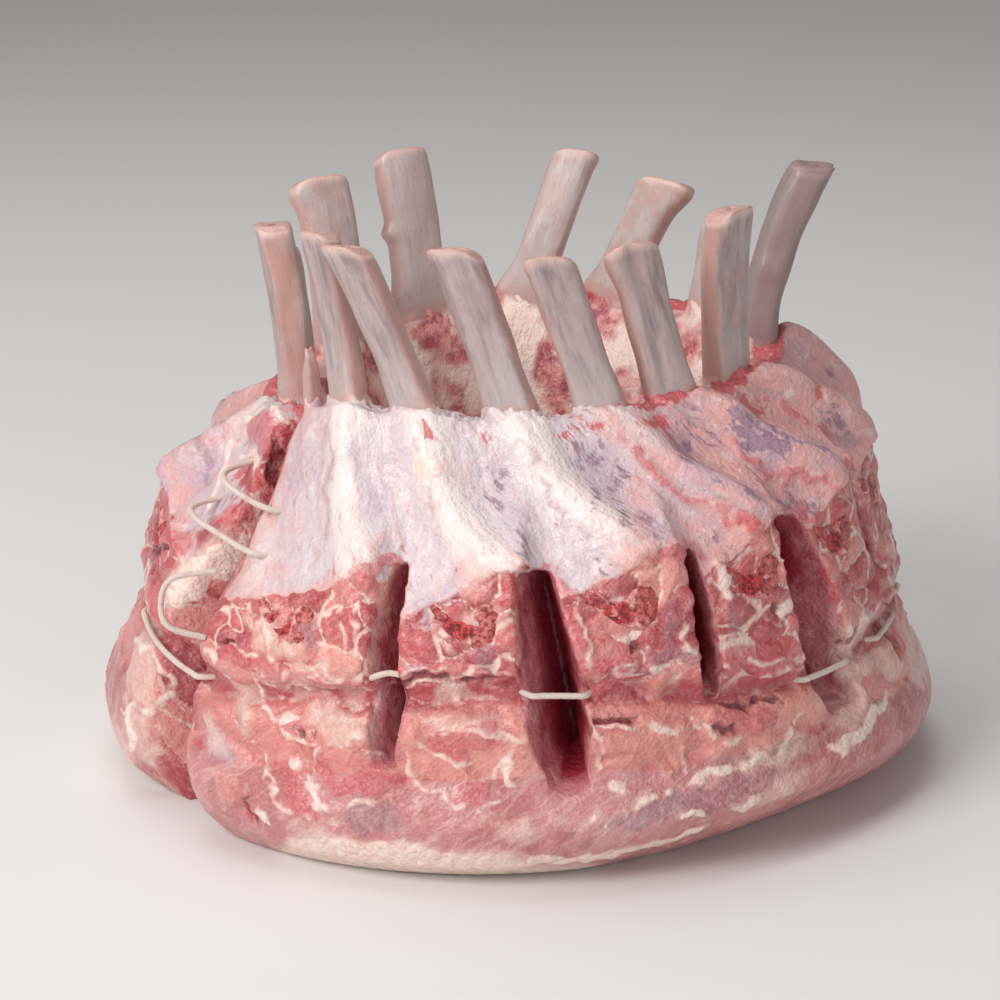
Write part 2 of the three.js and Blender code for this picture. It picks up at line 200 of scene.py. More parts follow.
def srgb(code):
    parts = [int(code[i:i + 2], 16) / 255 for i in (1, 3, 5)]
    return [p / 12.92 if p <= 0.04045 else ((p + 0.055) / 1.055) ** 2.4 for p in parts]


def blend(tree, a, shareA, b, shareB):
    return plus(tree, times(tree, a, shareA), times(tree, b, shareB))


def newMaterial(name, roughness, subsurface, reach, coat=0.0):
    material = bpy.data.materials.new(name)
    material.use_nodes = True
    tree = material.node_tree
    surface = tree.nodes["Principled BSDF"]
    surface.inputs["Roughness"].default_value = roughness
    surface.inputs["Subsurface Weight"].default_value = subsurface
    surface.inputs["Subsurface Radius"].default_value = reach
    surface.inputs["Subsurface Scale"].default_value = mm
    surface.inputs["Coat Weight"].default_value = coat
    surface.inputs["Coat Roughness"].default_value = 0.07
    surface.inputs["Coat IOR"].default_value = 1.4
    return material, tree, surface


def addBump(tree, surface, height, depth, sockets=("Normal", "Coat Normal")):
    bump = addNode(tree, "ShaderNodeBump", {"Height": height, "Distance": depth * mm})
    for socket in sockets:
        tree.links.new(bump.outputs[0], surface.inputs[socket])


def millimetres(tree):
    # the place on the piece, in millimetres
    spot = addNode(tree, "ShaderNodeTexCoord").outputs["Object"]
    return addNode(tree, "ShaderNodeVectorMath", {0: spot, "Scale": 1000.0}, operation="SCALE").outputs[0]


# Along the outside, reach less height says how far down the section a point lies. These are
# that number, every 45 degrees from 0, where the membrane ends, in the crease, and where the
# loin starts.
downLines = {
    "edge": [4, 14, 22, 26, 21, 33, 22, 13],
    "crease": [61, 58, 56, 57, 60, 67, 54, 61],
    "loin": [88, 84, 81, 82, 85, 89, 80, 80],
}
# Reach and height of the outside, from the crest down to the belly
outsideLines = [
    ([76, 75, 74, 72, 73, 81, 74, 76], [123, 122, 119, 115, 106, 119, 120, 122]),
    ([96, 95, 94, 92, 92, 95, 94, 97], [106, 101, 96, 91, 94, 90, 96, 102]),
    ([101, 104, 106, 105, 104, 108, 106, 104], [97, 90, 84, 79, 83, 75, 84, 91]),
    ([107, 109, 111, 110, 110, 114, 112, 109], [77, 72, 67, 65, 66, 62, 68, 70]),
    ([110, 109, 109, 109, 110, 113, 109, 108], [49, 51, 53, 52, 50, 46, 55, 47]),
    ([116, 115, 115, 115, 117, 118, 115, 113], [40, 43, 45, 44, 43, 38, 47, 40]),
    ([123, 121, 118, 120, 124, 121, 118, 118], [19, 20, 21, 21, 20, 19, 20, 20]),
]
crestHeight = outsideLines[0][1]                         # where the ribs leave the meat
faceReach = outsideLines[3][0]                           # of the sawn blocks from the axis
creaseReach, creaseHeight = outsideLines[4]
meanReach = 108                                          # of the outside, where marks are
climb = 14                                               # rise of a block's edge across it
rimReach, ridgeReach = 72, 34                            # ribs run from the rim this far out

racks = {
    "front": {
        "start": 220, "startLean": -3, "end": 378, "endLean": 6, "grain": 1,
        "feet": [230.5, 247, 268, 288, 306, 328, 362],
        "chines": [246, 267, 289, 310, 331, 352, 372],
        "cuts": [(250.3, 252.5), (271.5, 277.5), (295.5, 299), (314.5, 325), (336, 345),
                 (356.5, 363)],
    },
    "back": {
        "start": 22, "startLean": 6, "end": 216.5, "endLean": -11, "grain": -1,
        "feet": [36, 66, 89, 117, 145, 171, 197],
        "chines": [31, 52, 73, 99, 125, 152, 186],
        "cuts": [(47, 43), (68, 63), (94, 90), (120, 116), (147, 143), (181, 177)],
    },
}


def curveAt(a, b, c, d, t, pull=1):
    # a place from b to c on the smooth curve through four points
    return (b * (2 * t ** 3 - 3 * t * t + 1) + (c - a) / 2 * pull * (t ** 3 - 2 * t * t + t)
            + c * (3 * t * t - 2 * t ** 3) + (d - b) / 2 * pull * (t ** 3 - t * t))


def around(values, azimuth):
    # eight values round the crown, joined smoothly
    values = np.array(values, float)
    place = np.mod(azimuth, 360) / 45
    low = np.floor(place).astype(int)
    return curveAt(*(values[(low + step) % 8] for step in (-1, 0, 1, 2)), place - low)


def ramp(value, low, high):
    t = np.clip((value - low) / (high - low), 0, 1)
    return t * t * (3 - 2 * t)


def noiseAt(places, size, seed=0.0):
    shift = np.array([seed * 17.3, seed * -9.1, seed * 5.7])
    return np.array([noise.noise(p) for p in (places / size + shift).tolist()])


class Crown:
    # where each point of a rack lies: azimuth, reach and height, and what is worked out from them
    def __init__(self, rack, places, normals):
        self.rack = rack
        x, y, z = places.T
        azimuth = np.degrees(np.arctan2(y, x)) % 360
        middle = (rack["start"] + rack["end"]) / 2
        self.azimuth = azimuth + 360 * np.round((middle - azimuth) / 360)
        self.reach = np.hypot(x, y)
        self.height = z
        self.places = places
        angle = np.radians(self.azimuth)
        radial = np.stack([np.cos(angle), np.sin(angle), 0 * angle], 1)
        tangent = np.stack([-np.sin(angle), np.cos(angle), 0 * angle], 1)
        self.outward = (normals * radial).sum(1)
        self.sideways = (normals * tangent).sum(1)
        self.upward = normals[:, 2]
        self.down = self.reach - self.height
        self.edge = around(downLines["edge"], self.azimuth) - climb * self.acrossBlock()
        self.crease = around(downLines["crease"], self.azimuth)
        self.loin = around(downLines["loin"], self.azimuth)
        self.inside = ramp(-self.reach, -74, -68) * ramp(-self.outward, 0, 0.4)
        self.inside *= 1 - ramp(np.abs(self.sideways), 0.7, 0.9)
        self.sunk = around(faceReach, self.azimuth) - self.reach
        self.depth = self.depthInside()
        self.phase, self.ridge = self.ribPhase()
        self.wall, self.endFace = self.walls()

    def depthInside(self):
        # how far in from the outside of the uncut meat
        reaches = [around(line[0], self.azimuth) for line in outsideLines]
        heights = [around(line[1], self.azimuth) for line in outsideLines]
        skin = np.where(self.height > heights[0], reaches[0], reaches[-1])
        for high, low, reachHigh, reachLow in zip(heights, heights[1:], reaches, reaches[1:]):
            share = (high - self.height) / (high - low)
            between = (share >= 0) & (share <= 1)
            skin = np.where(between, reachHigh + (reachLow - reachHigh) * share, skin)
        return np.where(self.height > 16, skin - self.reach, 0)

    def acrossBlock(self):
        # -0.5 to 0.5 across each chine block, the way its edge climbs
        rack = self.rack
        seams = [rack["start"] + rack["startLean"], *(top for top, _ in rack["cuts"]),
                 rack["end"] + rack["endLean"]]
        place = np.zeros_like(self.azimuth)
        for low, high in zip(seams, seams[1:]):
            share = (self.azimuth - low) / (high - low)
            place = np.where((share >= 0) & (share < 1), share, place)
        place = np.where(self.azimuth >= seams[-1], 1, place)
        return (place if rack["grain"] > 0 else 1 - place) - 0.5

    def ribPhase(self):
        # which rib is near, as a number that is whole on a rib, and how much it stands out
        out = np.clip((self.reach - rimReach) / ridgeReach, 0, 1)
        feet, chines = (np.array([spots[0] - 20, *spots, spots[-1] + 20], float)
                        for spots in (self.rack["feet"], self.rack["chines"]))
        phase = np.zeros_like(out)
        nearest = np.full_like(out, 99.0)
        for index in range(len(feet) - 1):
            low = feet[index] + (chines[index] - feet[index]) * out
            high = feet[index + 1] + (chines[index + 1] - feet[index + 1]) * out
            phase += np.clip((self.azimuth - low) / (high - low), 0, 1)
            nearest = np.minimum(nearest, np.abs(np.radians(self.azimuth - low)) * self.reach)
        return phase, np.exp(-(nearest / 6.5) ** 2)

    def walls(self):
        rack = self.rack
        lean = np.maximum(-0.15, (self.reach - rimReach) / 50)
        fromStart = np.radians(self.azimuth - rack["start"] - rack["startLean"] * lean)
        fromEnd = np.radians(rack["end"] + rack["endLean"] * lean - self.azimuth)
        near = np.minimum(fromStart, fromEnd) * self.reach
        endFace = ramp(-near, -4.5, -1.5)
        steep = ramp(np.abs(self.sideways), 0.45, 0.8)
        wall = np.maximum(steep * ramp(self.depth, 0.8, 3), ramp(self.depth, 3.5, 6))
        wall *= (1 - endFace) * (1 - self.inside) * ramp(-self.height, -104, -98)
        return wall, endFace


# The sawn vertebrae's outline, across and up from the middle, seen from outside the front
# rack; the back rack's are mirrored
vertebraOutline = [(-12, 4), (-8, 5.5), (-3, 1.5), (2, 2), (6, 5.5), (11.5, 4.5), (11, -4),
                   (7, -7.5), (-1, -5.5), (-8, -1)]
vertebraHeart = (1, -2.5)       # every point of the outline can be seen from here


def nodesOf(prefix):
    return sorted(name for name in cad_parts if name.startswith(prefix))


def vertebraSeat(name):
    # the middle of the block's face there, and the directions across, up and out
    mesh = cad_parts[name].data
    low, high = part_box(name)
    radial = Vector((low.x + high.x, low.y + high.y, 0)).normalized()
    out = Vector()
    for face in mesh.polygons:
        if face.normal.dot(radial) > 0.7:
            out += face.normal * face.area
    out.normalize()
    across = Vector((0, 0, 1)).cross(out).normalized()
    up = out.cross(across)
    spots = [Vector((v.co.dot(across), v.co.dot(up), v.co.dot(out))) / mm for v in mesh.vertices]
    middle = [(min(s[i] for s in spots) + max(s[i] for s in spots)) / 2 for i in range(2)]
    aside = 0.25 if "front" in name else -0.25
    face = max(s[2] for s in spots) - 0.6
    spot = across * (middle[0] + aside) + up * (middle[1] + 1) + out * face
    turn = Matrix((across, up, out)).transposed()
    return Matrix.Translation(spot * mm) @ turn.to_4x4()


print("measures ready")


meat = {
    "voxel": 0.9, "quickVoxel": 1.6,      # cell of the fine surface
    "triangles": 196000,                  # the most that a rack may have
    "collar": 2.2,                        # the meat's collar up a rib above the rim
    "smooth": 2, "skinSmooth": 16,        # passes everywhere, and away from sawn edges
    "cell": (12.0, 9.5), "creaseCell": (26, 5.5), "lowCell": (21, 11.0),   # muscle bundles
    "bundle": 1.05, "seamWidth": 0.42,    # how far they bulge, and the seams' half width
    "rimTear": 1.4, "edgeLip": 0.7,
    "fatBand": 17,                        # height of the pale fat under the loin, near the join
    "leftJoin": 218, "paleSide": 258,     # azimuths of the join on the left and of the side without painted shade
}


def copyMerged(name):
    shape = bmesh.new()
    shape.from_mesh(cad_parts[name].data)
    bmesh.ops.remove_doubles(shape, verts=shape.verts, dist=0.001 * mm)
    return shape


def addPlug(shape, name, place, direction, grow):
    # fills a socket in the meat with the node that sits in it, up to a plane
    plug = copyMerged(name)
    bmesh.ops.bisect_plane(plug, geom=plug.verts[:] + plug.edges[:] + plug.faces[:],
                           plane_co=place, plane_no=direction, clear_outer=True)
    bmesh.ops.holes_fill(plug, edges=[e for e in plug.edges if e.is_boundary])
    plug.normal_update()
    for vert in plug.verts:
        vert.co += vert.normal * grow * mm
    spare = bpy.data.meshes.new("plug")
    plug.to_mesh(spare)
    plug.free()
    shape.from_mesh(spare)
    bpy.data.meshes.remove(spare)


def newPiece(node, shape):
    # named after its node: rib_front_1 gives ribFront1
    first, *rest = node.split("_")
    name = first + "".join(word.capitalize() for word in rest)
    mesh = bpy.data.meshes.new(name)
    shape.to_mesh(mesh)
    shape.free()
    return addObject(name, mesh)


def finishPiece(piece, node, fields, material):
    for field, values in fields.items():
        setAttribute(piece.data, field, values)
    piece.data.shade_smooth()
    piece.data.materials.append(material)
    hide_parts(node)
    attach(piece, "root")


def keepInside(places):
    return np.clip(places, np.array(cadLow) / mm, np.array(cadHigh) / mm)


def seedOf(name, most):
    return sum(ord(letter) for letter in name) % most


def applyModifiers(piece):
    evaluated = piece.evaluated_get(bpy.context.evaluated_depsgraph_get())
    fresh = bpy.data.meshes.new_from_object(evaluated)
    old = piece.data
    piece.modifiers.clear()
    piece.data = fresh
    bpy.data.meshes.remove(old)


def vertexArrays(mesh):
    places = np.empty(len(mesh.vertices) * 3, np.float32)
    mesh.vertices.foreach_get("co", places)
    normals = np.empty(len(mesh.vertices) * 3, np.float32)
    mesh.vertex_normals.foreach_get("vector", normals)
    return places.reshape(-1, 3).astype(float) / mm, normals.reshape(-1, 3).astype(float)


def setAttribute(mesh, name, values):
    kind = "FLOAT_VECTOR" if values.ndim == 2 else "FLOAT"
    made = mesh.attributes.new(name, kind, "POINT")
    field = "vector" if values.ndim == 2 else "value"
    made.data.foreach_set(field, values.astype(np.float32).ravel())


def weighGroup(piece, name, weights):
    group = piece.vertex_groups.new(name=name)
    steps = np.round(np.clip(weights, 0, 1) * 10).astype(int)
    for step in range(1, 11):
        group.add(np.flatnonzero(steps == step).tolist(), step / 10, "REPLACE")


def fineSurface(name, rack):
    # one closed surface of fine cells, smooth but for the sawn edges
    shape = copyMerged("rack_" + name)
    for rib in nodesOf("rib_" + name):
        low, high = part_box(rib)
        azimuth = math.degrees(math.atan2(low.y + high.y, low.x + high.x))
        top = float(around(crestHeight, azimuth)) + meat["collar"]
        addPlug(shape, rib, (0, 0, top * mm), (0, 0, 1), 0.5)
    for vertebra in nodesOf("vertebra_" + name):
        seat = vertebraSeat(vertebra)
        addPlug(shape, vertebra, seat.translation - seat.col[2].xyz * 0.2 * mm, seat.col[2].xyz, 0.35)
    piece = newPiece("rack_" + name, shape)
    remesh = piece.modifiers.new("cells", "REMESH")
    remesh.mode = "VOXEL"
    remesh.voxel_size = meat["voxel"] * mm
    smooth = piece.modifiers.new("smooth", "SMOOTH")
    smooth.factor, smooth.iterations = 0.5, meat["smooth"]
    applyModifiers(piece)

    places, normals = vertexArrays(piece.data)
    edges = np.empty(len(piece.data.edges) * 2, np.int32)
    piece.data.edges.foreach_get("vertices", edges)
    first, second = edges.reshape(-1, 2).T
    alike = (normals[first] * normals[second]).sum(1)
    flattest = np.ones(len(places))
    np.minimum.at(flattest, first, alike)
    np.minimum.at(flattest, second, alike)
    weighGroup(piece, "skin", ramp(flattest, 0.90, 0.975))
    crown = Crown(rack, places, normals)
    hidden = np.maximum(crown.inside, ramp(-crown.upward, 0.8, 0.95) * ramp(-places[:, 2], -1, 0))
    weighGroup(piece, "hidden", np.maximum(hidden, 0.1))
    skin = piece.modifiers.new("skin", "SMOOTH")
    skin.factor, skin.iterations, skin.vertex_group = 0.5, meat["skinSmooth"], "skin"
    piece.data.calc_loop_triangles()
    share = meat["triangles"] / max(len(piece.data.loop_triangles), 1)
    if share < 1:
        thin = piece.modifiers.new("thin", "DECIMATE")
        thin.ratio, thin.vertex_group = share, "hidden"
    applyModifiers(piece)
    piece.vertex_groups.clear()
    return piece


def cellsAt(u, v, wide, tall, seed):
    # distance in millimetres to the border of a cell, and a tone of its own for each cell
    border, tone = [], []
    for place in zip((u / wide).tolist(), (v / tall).tolist()):
        near, spots = noise.voronoi((*place, seed))
        border.append(near[1] - near[0])
        tone.append((spots[0][0] * 12.9898 + spots[0][1] * 78.233) % 1)
    return np.array(border) / 2 * min(wide, tall), np.array(tone)


# What shows on the front rack's outside. Each mark is a half width, then the azimuth and the
# height of each point that it runs through.
marks = {
    "violet": [
        (1.8, 284.5, 118, 283.5, 111), (1.5, 280.5, 117, 281.5, 111), (1.2, 283.2, 107, 282.8, 104),
        (1.6, 288, 111, 287, 106), (1.3, 286.5, 104, 285.3, 99), (2.1, 290, 101, 291, 97),
        (2.4, 299, 117, 300.3, 110), (2.0, 302.5, 116, 303, 109), (1.4, 301, 108, 302, 104.5),
        (2.0, 305.5, 107, 307.5, 101.5), (2.4, 313, 119, 316.5, 112), (2.0, 317.5, 118, 319.5, 109),
        (1.6, 322, 113, 326, 106), (1.3, 327, 111, 330, 104), (1.1, 316, 99, 321.5, 94),
        (1.2, 298.5, 95, 303.5, 89.5), (1.2, 282, 90, 282.8, 86.5), (1.7, 264.5, 109.5, 266.5, 102.5),
        (1.3, 269.8, 100.5, 270.2, 95), (1.2, 270.5, 94.5, 272.8, 93.5), (1.8, 340, 112, 342, 107),
        (1.4, 352, 104, 354, 99),
    ],
    "lilac": [
        (2.0, 264, 110, 266, 106, 267.5, 101), (1.5, 270, 96, 272.5, 92), (1.8, 257, 76, 260, 84),
        (4.0, 283, 115, 286.5, 104), (3.0, 290, 102, 291.5, 96), (3.0, 242.5, 106, 246, 97),
        (2.6, 239, 115, 241, 106), (3.0, 271, 96, 268, 104), (4.2, 300.5, 117, 301.5, 106),
        (4.2, 314, 118, 318.5, 109), (3.4, 323, 113, 328, 105), (2.8, 305, 108, 308, 101),
        (3.2, 223, 34, 227.5, 31), (2.5, 223, 108, 226, 99),
    ],
    "pink": [
        (0.8, 229.5, 120, 233, 110, 237, 92, 236, 83), (1.6, 227, 92, 231, 91),
        (1.5, 282, 87, 282.5, 83), (0.9, 257, 84, 257, 88), (3.0, 292, 112, 289, 100, 288, 90),
        (2.4, 300, 101, 304, 93), (3.5, 262, 92, 264, 84), (3.0, 330, 98, 338, 90),
        (2.6, 308, 112, 312, 102), (2.0, 248, 96, 249, 86),
    ],
    "shade": [
        (1.0, 229.5, 120, 233, 110, 237, 92, 236, 83), (0.9, 269.5, 118, 275.5, 104, 280, 93),
        (0.9, 301.5, 107, 304, 100, 312, 94), (0.8, 250.5, 118, 254, 106, 256, 98),
        (0.9, 291, 118, 296, 108, 299, 99), (1.5, 228.5, 42, 229, 41), (4.0, 247, 22, 254, 23),
        (3.0, 280.5, 22, 294.5, 26), (1.0, 331, 114, 341, 104, 347, 96),
    ],
    "orange": [
        (2.2, 285, 92, 288.5, 89), (1.8, 227.5, 82, 232.5, 82), (1.8, 250.5, 76, 253, 76),
        (2.4, 256, 48, 256.5, 33), (2.0, 269, 53, 270.5, 47, 271, 39), (2.6, 288.5, 55, 291, 51),
        (4.6, 283, 40, 289, 39, 291, 33), (3.2, 227, 23, 231, 18), (1.2, 324.5, 64, 325, 63),
        (2.2, 333.5, 48, 345, 42), (1.4, 314.5, 23, 317.5, 27, 321.5, 28), (2.2, 301, 41, 306, 38),
        (2.0, 261, 36, 263, 33), (2.5, 245, 41, 250, 39), (1.8, 303, 96, 308, 91),
        (2.5, 352, 44, 362, 40), (5.0, 229, 68, 246, 64), (5.5, 296, 36, 306, 38, 318, 38),
        (5, 308, 46, 318, 40),
    ],
    "cream": [
        (3.4, 229, 68, 238, 65), (3.0, 232, 55, 246, 57), (3.2, 240, 48, 250, 44),
        (2.6, 228, 47, 231, 40), (2.4, 258, 50, 266, 48), (2.2, 262, 78, 266, 76),
        (5.0, 322, 34, 330, 40, 340, 38), (6.0, 345, 34, 360, 32), (3.0, 318, 42, 324, 52),
        (3.5, 222, 36, 226, 33), (2.4, 300, 22, 312, 26), (3.0, 340, 54, 352, 60),
        # painted light: the last mark below lightens the lower wall of the fourth saw cut
        (3.0, 302, 30, 314, 33), (2.2, 269, 19, 272, 18), (3.6, 325.5, 56, 326, 40),
    ],
    "lean": [
        (2.6, 254, 72, 257, 66), (1.9, 267, 74, 268, 71), (3.6, 259.5, 44, 263, 41, 266.5, 43),
        (2.6, 262.5, 30, 265.5, 30), (2.8, 276.5, 77, 278, 71), (1.9, 280, 62, 286, 66),
        (1.9, 279.5, 53, 285.5, 57), (1.8, 280, 48, 286, 48), (1.5, 245, 80, 246, 68),
        (2.6, 225, 57, 237, 58), (1.5, 232, 51, 243.5, 54, 251, 54),
        (2.9, 236.5, 33, 238.5, 27, 241.5, 21), (3.2, 245, 29, 248.5, 31.5, 252, 32),
        (1.4, 300.5, 99, 304.4, 95.7, 308.5, 91.5), (1.1, 327.2, 121, 333.4, 114.4, 340.4, 105.2),
        (1.2, 311, 113.5, 316.5, 105.3, 322, 100, 327.4, 96.3, 333, 93), (1.1, 331.5, 101.6, 339, 97),
        (1.0, 289, 119, 293, 110, 299, 101), (2.4, 242, 38, 244.5, 30), (2.0, 300, 60, 306, 55, 315, 47),
        (2.6, 297.5, 46, 302.5, 43, 308.5, 42), (3.0, 323, 77, 325.5, 67),
        (1.3, 351, 79, 342.5, 66, 334.5, 60), (3.0, 329, 40, 336, 36),
        (1.4, 271, 83, 274, 85.5, 278, 83), (1.2, 296, 91, 297.5, 92.5, 299, 89),
        (1.4, 315, 94, 318, 95, 322, 90), (2.2, 246, 82, 249, 86, 251.5, 87),
    ],
    "purple": [
        (2.1, 264.5, 66, 266, 68), (1.9, 255.5, 64, 257.5, 62), (1.9, 290.5, 78, 291, 69),
        (1.9, 285.5, 62, 290.5, 64, 295, 64), (1.5, 301.5, 74, 301.5, 69), (1.6, 332, 56, 338, 50),
        (3.6, 293, 23.5, 299, 25.5, 306, 27.5), (2.0, 238, 70, 241, 66), (1.6, 346, 66, 349, 58),
    ],
    "fat": [
        (2.6, 250.5, 113, 255, 110), (0.44, 256, 74, 260, 70, 262, 66),
        (0.44, 254.5, 61, 260.5, 63, 267.5, 62), (0.39, 254, 53, 259, 55, 263, 54),
        (0.7, 257.5, 45, 258.8, 39.7, 263.3, 35.4, 265.4, 32.3), (1.0, 267, 37, 269.5, 34),
        (0.5, 257.2, 46, 262.7, 47.2, 268, 45.3, 269.3, 41, 266.5, 34),
        (0.44, 254.5, 43, 256, 34, 259.2, 31.5, 261, 27.5, 265.5, 27, 268, 31),
        (0.44, 277.2, 82, 279, 70, 280.6, 56), (0.61, 288, 69, 288.5, 68), (0.5, 293, 76, 293.5, 67),
        (0.44, 279, 59, 283.5, 61, 287.5, 66, 296, 66), (0.39, 283.5, 59, 289.5, 60, 295.5, 60),
        (0.6, 279.4, 49, 282.8, 45.4, 286.7, 47.6, 289.8, 45.6, 291.7, 38, 293.5, 32.3),
        (0.5, 279.5, 48, 280.5, 39, 281.8, 34), (1.1, 281.8, 34, 284, 30),
        (0.9, 283.3, 26.8, 290, 29, 296, 31.3, 302.6, 32, 309.9, 34, 313.5, 40),
        (0.8, 299, 19.5, 303, 21), (0.9, 292.5, 19.5, 294.5, 20.3),
        (0.35, 281.9, 21, 281, 17, 280.4, 13.4), (0.35, 279.6, 26.7, 278.3, 23, 276.9, 19.9),
        (0.44, 294, 50, 294, 44, 293.5, 37), (0.39, 246, 81, 247, 66), (0.39, 244, 79, 245.5, 66),
        (0.44, 225, 60, 232, 61, 237, 60, 243.5, 61), (0.55, 231.5, 68, 233.5, 62),
        (0.39, 231, 54, 243.5, 57, 253, 59), (0.39, 232, 48, 243, 51, 252, 53),
        (1.4, 235.5, 45, 238, 45), (0.6, 230.2, 49, 235.9, 43.4, 239.5, 39, 244.7, 35),
        (0.5, 230.3, 39, 234.8, 30, 236.3, 24, 241.2, 17.5, 246, 16),
        (0.9, 238.5, 33, 241.3, 28, 243, 24.5),
        (0.5, 241, 31, 244, 36.5, 247, 40.3, 250.5, 38.5, 253.6, 35),
        (0.5, 242.5, 25.5, 246, 23.5, 251, 28), (1.3, 234, 15, 235.5, 10),
        (3.0, 239, 6, 247, 8, 256.5, 8, 268, 7), (1.8, 268, 7, 284, 8, 296, 12),
        (1.3, 220.5, 57, 222.5, 51), (1.8, 300, 86, 301.5, 78), (1.8, 310.5, 72, 313, 72),
        (0.5, 303, 69, 308.5, 69, 314, 61, 316, 51), (0.39, 299.5, 57, 306, 57, 312.5, 52),
        (0.39, 299.5, 52, 308.5, 50, 315, 51), (0.5, 295.5, 44, 297.5, 36, 307.5, 33),
        (0.44, 330, 79, 332, 81), (0.61, 325, 59, 327.5, 52, 328, 42),
        (0.5, 339.5, 86, 335, 71, 331.5, 58), (0.5, 345.5, 76, 342.5, 67, 337, 58),
        (0.61, 330.5, 54, 335.5, 50), (1.5, 317, 29, 321.5, 28, 326, 30, 334, 33),
    ],
    "blood": [
        (1.2, 303, 96.5, 306, 94), (1.3, 251.5, 120, 253, 119), (1.4, 262.5, 120, 264, 117),
        (1.4, 277, 119, 286, 120), (2.2, 294, 121, 301, 118), (3.0, 321, 120, 326, 118),
        (2.4, 344, 122, 338, 118), (1.6, 348, 120, 352, 115), (1.3, 261.5, 67, 262.5, 66),
        (1.3, 280.5, 72, 282.5, 70), (1.4, 231, 19, 232.3, 8), (3.2, 308, 63, 312, 59),
        (2.4, 326, 86, 332, 85), (1.6, 352, 82, 346, 84), (1.2, 303, 84, 306, 82),
        (1.1, 233.5, 71, 235, 66), (1.2, 229, 72, 230.5, 68),
    ],
    "dark": [
        (1.1, 254.5, 58, 259.5, 57, 267, 58), (0.8, 285.5, 71, 287, 68),
        (0.6, 231.2, 18, 232.6, 11.5, 232.3, 6), (1.1, 279, 50, 283, 50, 287, 50),
        (0.9, 239.5, 41, 240.5, 43, 241.5, 43), (0.8, 223.5, 60, 226, 61), (0.8, 309, 72, 309.5, 71),
        (1.1, 299, 49, 304, 48, 310, 46), (0.7, 298, 44, 300.5, 37), (0.8, 324, 50, 331, 52),
        (0.8, 344, 50, 352, 50),
    ],
}
frontCrest = 121     # the front crest's height, for which the marks are given
endStart = 186       # the back rack's left end begins at this azimuth
# What shows at the back rack's left end; farther round it the front rack's marks are mirrored.
endMarks = {
    "violet": [],
    "shade": [
        (1.4, 190, 100, 197, 92),
    ],
    "pink": [
        (3.0, 192, 108, 198, 110), (2.6, 186, 96, 190, 88),
    ],
    "lilac": [
        (5.0, 182, 100, 190, 84), (4.0, 193, 102, 197, 88), (4.0, 186, 112, 194, 112),
    ],
    "orange": [
        (1.5, 193, 100, 195, 100), (2.0, 200, 52, 204, 50),
    ],
    "cream": [
        (4.5, 207, 62, 208.5, 70, 212, 77), (8.0, 198, 47, 203, 33), (5.0, 204, 26, 206, 12),
        (5.0, 190, 52, 198, 52), (4.0, 196, 14, 202, 10),
    ],
    "lean": [
        (4.6, 201, 107, 208, 109, 214, 107), (3.2, 190, 72, 198, 76, 204, 76), (3.0, 207, 84, 212, 88),
        (3.0, 195, 60, 203, 58), (2.4, 203, 56, 206, 50),
    ],
    "purple": [
        (2.4, 190, 66, 196, 68),
    ],
    "fat": [
        (4.2, 208, 62, 210, 67, 213.5, 77), (0.9, 198, 104, 201, 112, 208, 115.5, 214, 113),
        (0.9, 201, 101, 208, 102, 213, 102), (1.3, 197, 104, 199, 95, 205, 84),
        (2.4, 207, 70, 208.5, 66), (0.9, 192, 42, 203, 45, 208, 37, 206, 28, 199, 26),
        (1.8, 203, 26, 203.6, 14), (1.4, 196, 50, 199, 54),
    ],
    "blood": [
        (3.6, 204, 97, 209, 99, 213, 96), (1.4, 204, 108, 206, 112),
    ],
    "dark": [
        (1.6, 215, 106, 215.5, 90), (1.3, 191, 69, 199, 72),
    ],
}


def backMarks():
    # the front rack's marks mirrored from block to block, then the left end's own
    seams = {name: [rack["start"] + rack["startLean"]] + [sum(cut) / 2 for cut in rack["cuts"]]
             + [rack["end"] + rack["endLean"]] for name, rack in racks.items()}
    seams["back"] = sorted(seams["back"], reverse=True)
    made = {kind: list(lines) for kind, lines in endMarks.items()}
    for kind, lines in marks.items():
        for half, *spots in lines:
            turned = [float(np.interp(azimuth, seams["front"], seams["back"])) for azimuth in spots[::2]]
            lower = [height * float(around(crestHeight, azimuth)) / frontCrest
                     for azimuth, height in zip(turned, spots[1::2])]
            if max(turned) < endStart:
                made[kind].append((half, *(value for spot in zip(turned, lower) for value in spot)))
    return made


def surfaceAt(crown, azimuth, height):
    # the outermost point of the meat there
    near = np.abs(np.radians(crown.azimuth - azimuth) * meanReach) + np.abs(crown.height - height)
    close = near < max(2.5, near.min() + 0.5)
    return crown.places[close][np.argmax(crown.reach[close])]


def distanceTo(places, a, b):
    line = b - a
    share = np.clip((places - a) @ line / max(line @ line, 1e-9), 0, 1)
    return np.linalg.norm(places - a - share[:, None] * line, axis=1), share


def smoothed(points, steps):
    # more points along the smooth curve through a few
    points = np.array(points, float)
    ends = np.concatenate([points[:1], points, points[-1:]])
    made = []
    for a, b, c, d in zip(ends, ends[1:], ends[2:], ends[3:]):
        made += [curveAt(a, b, c, d, t) for t in np.arange(steps) / steps]
    return np.array(made + [points[-1]])


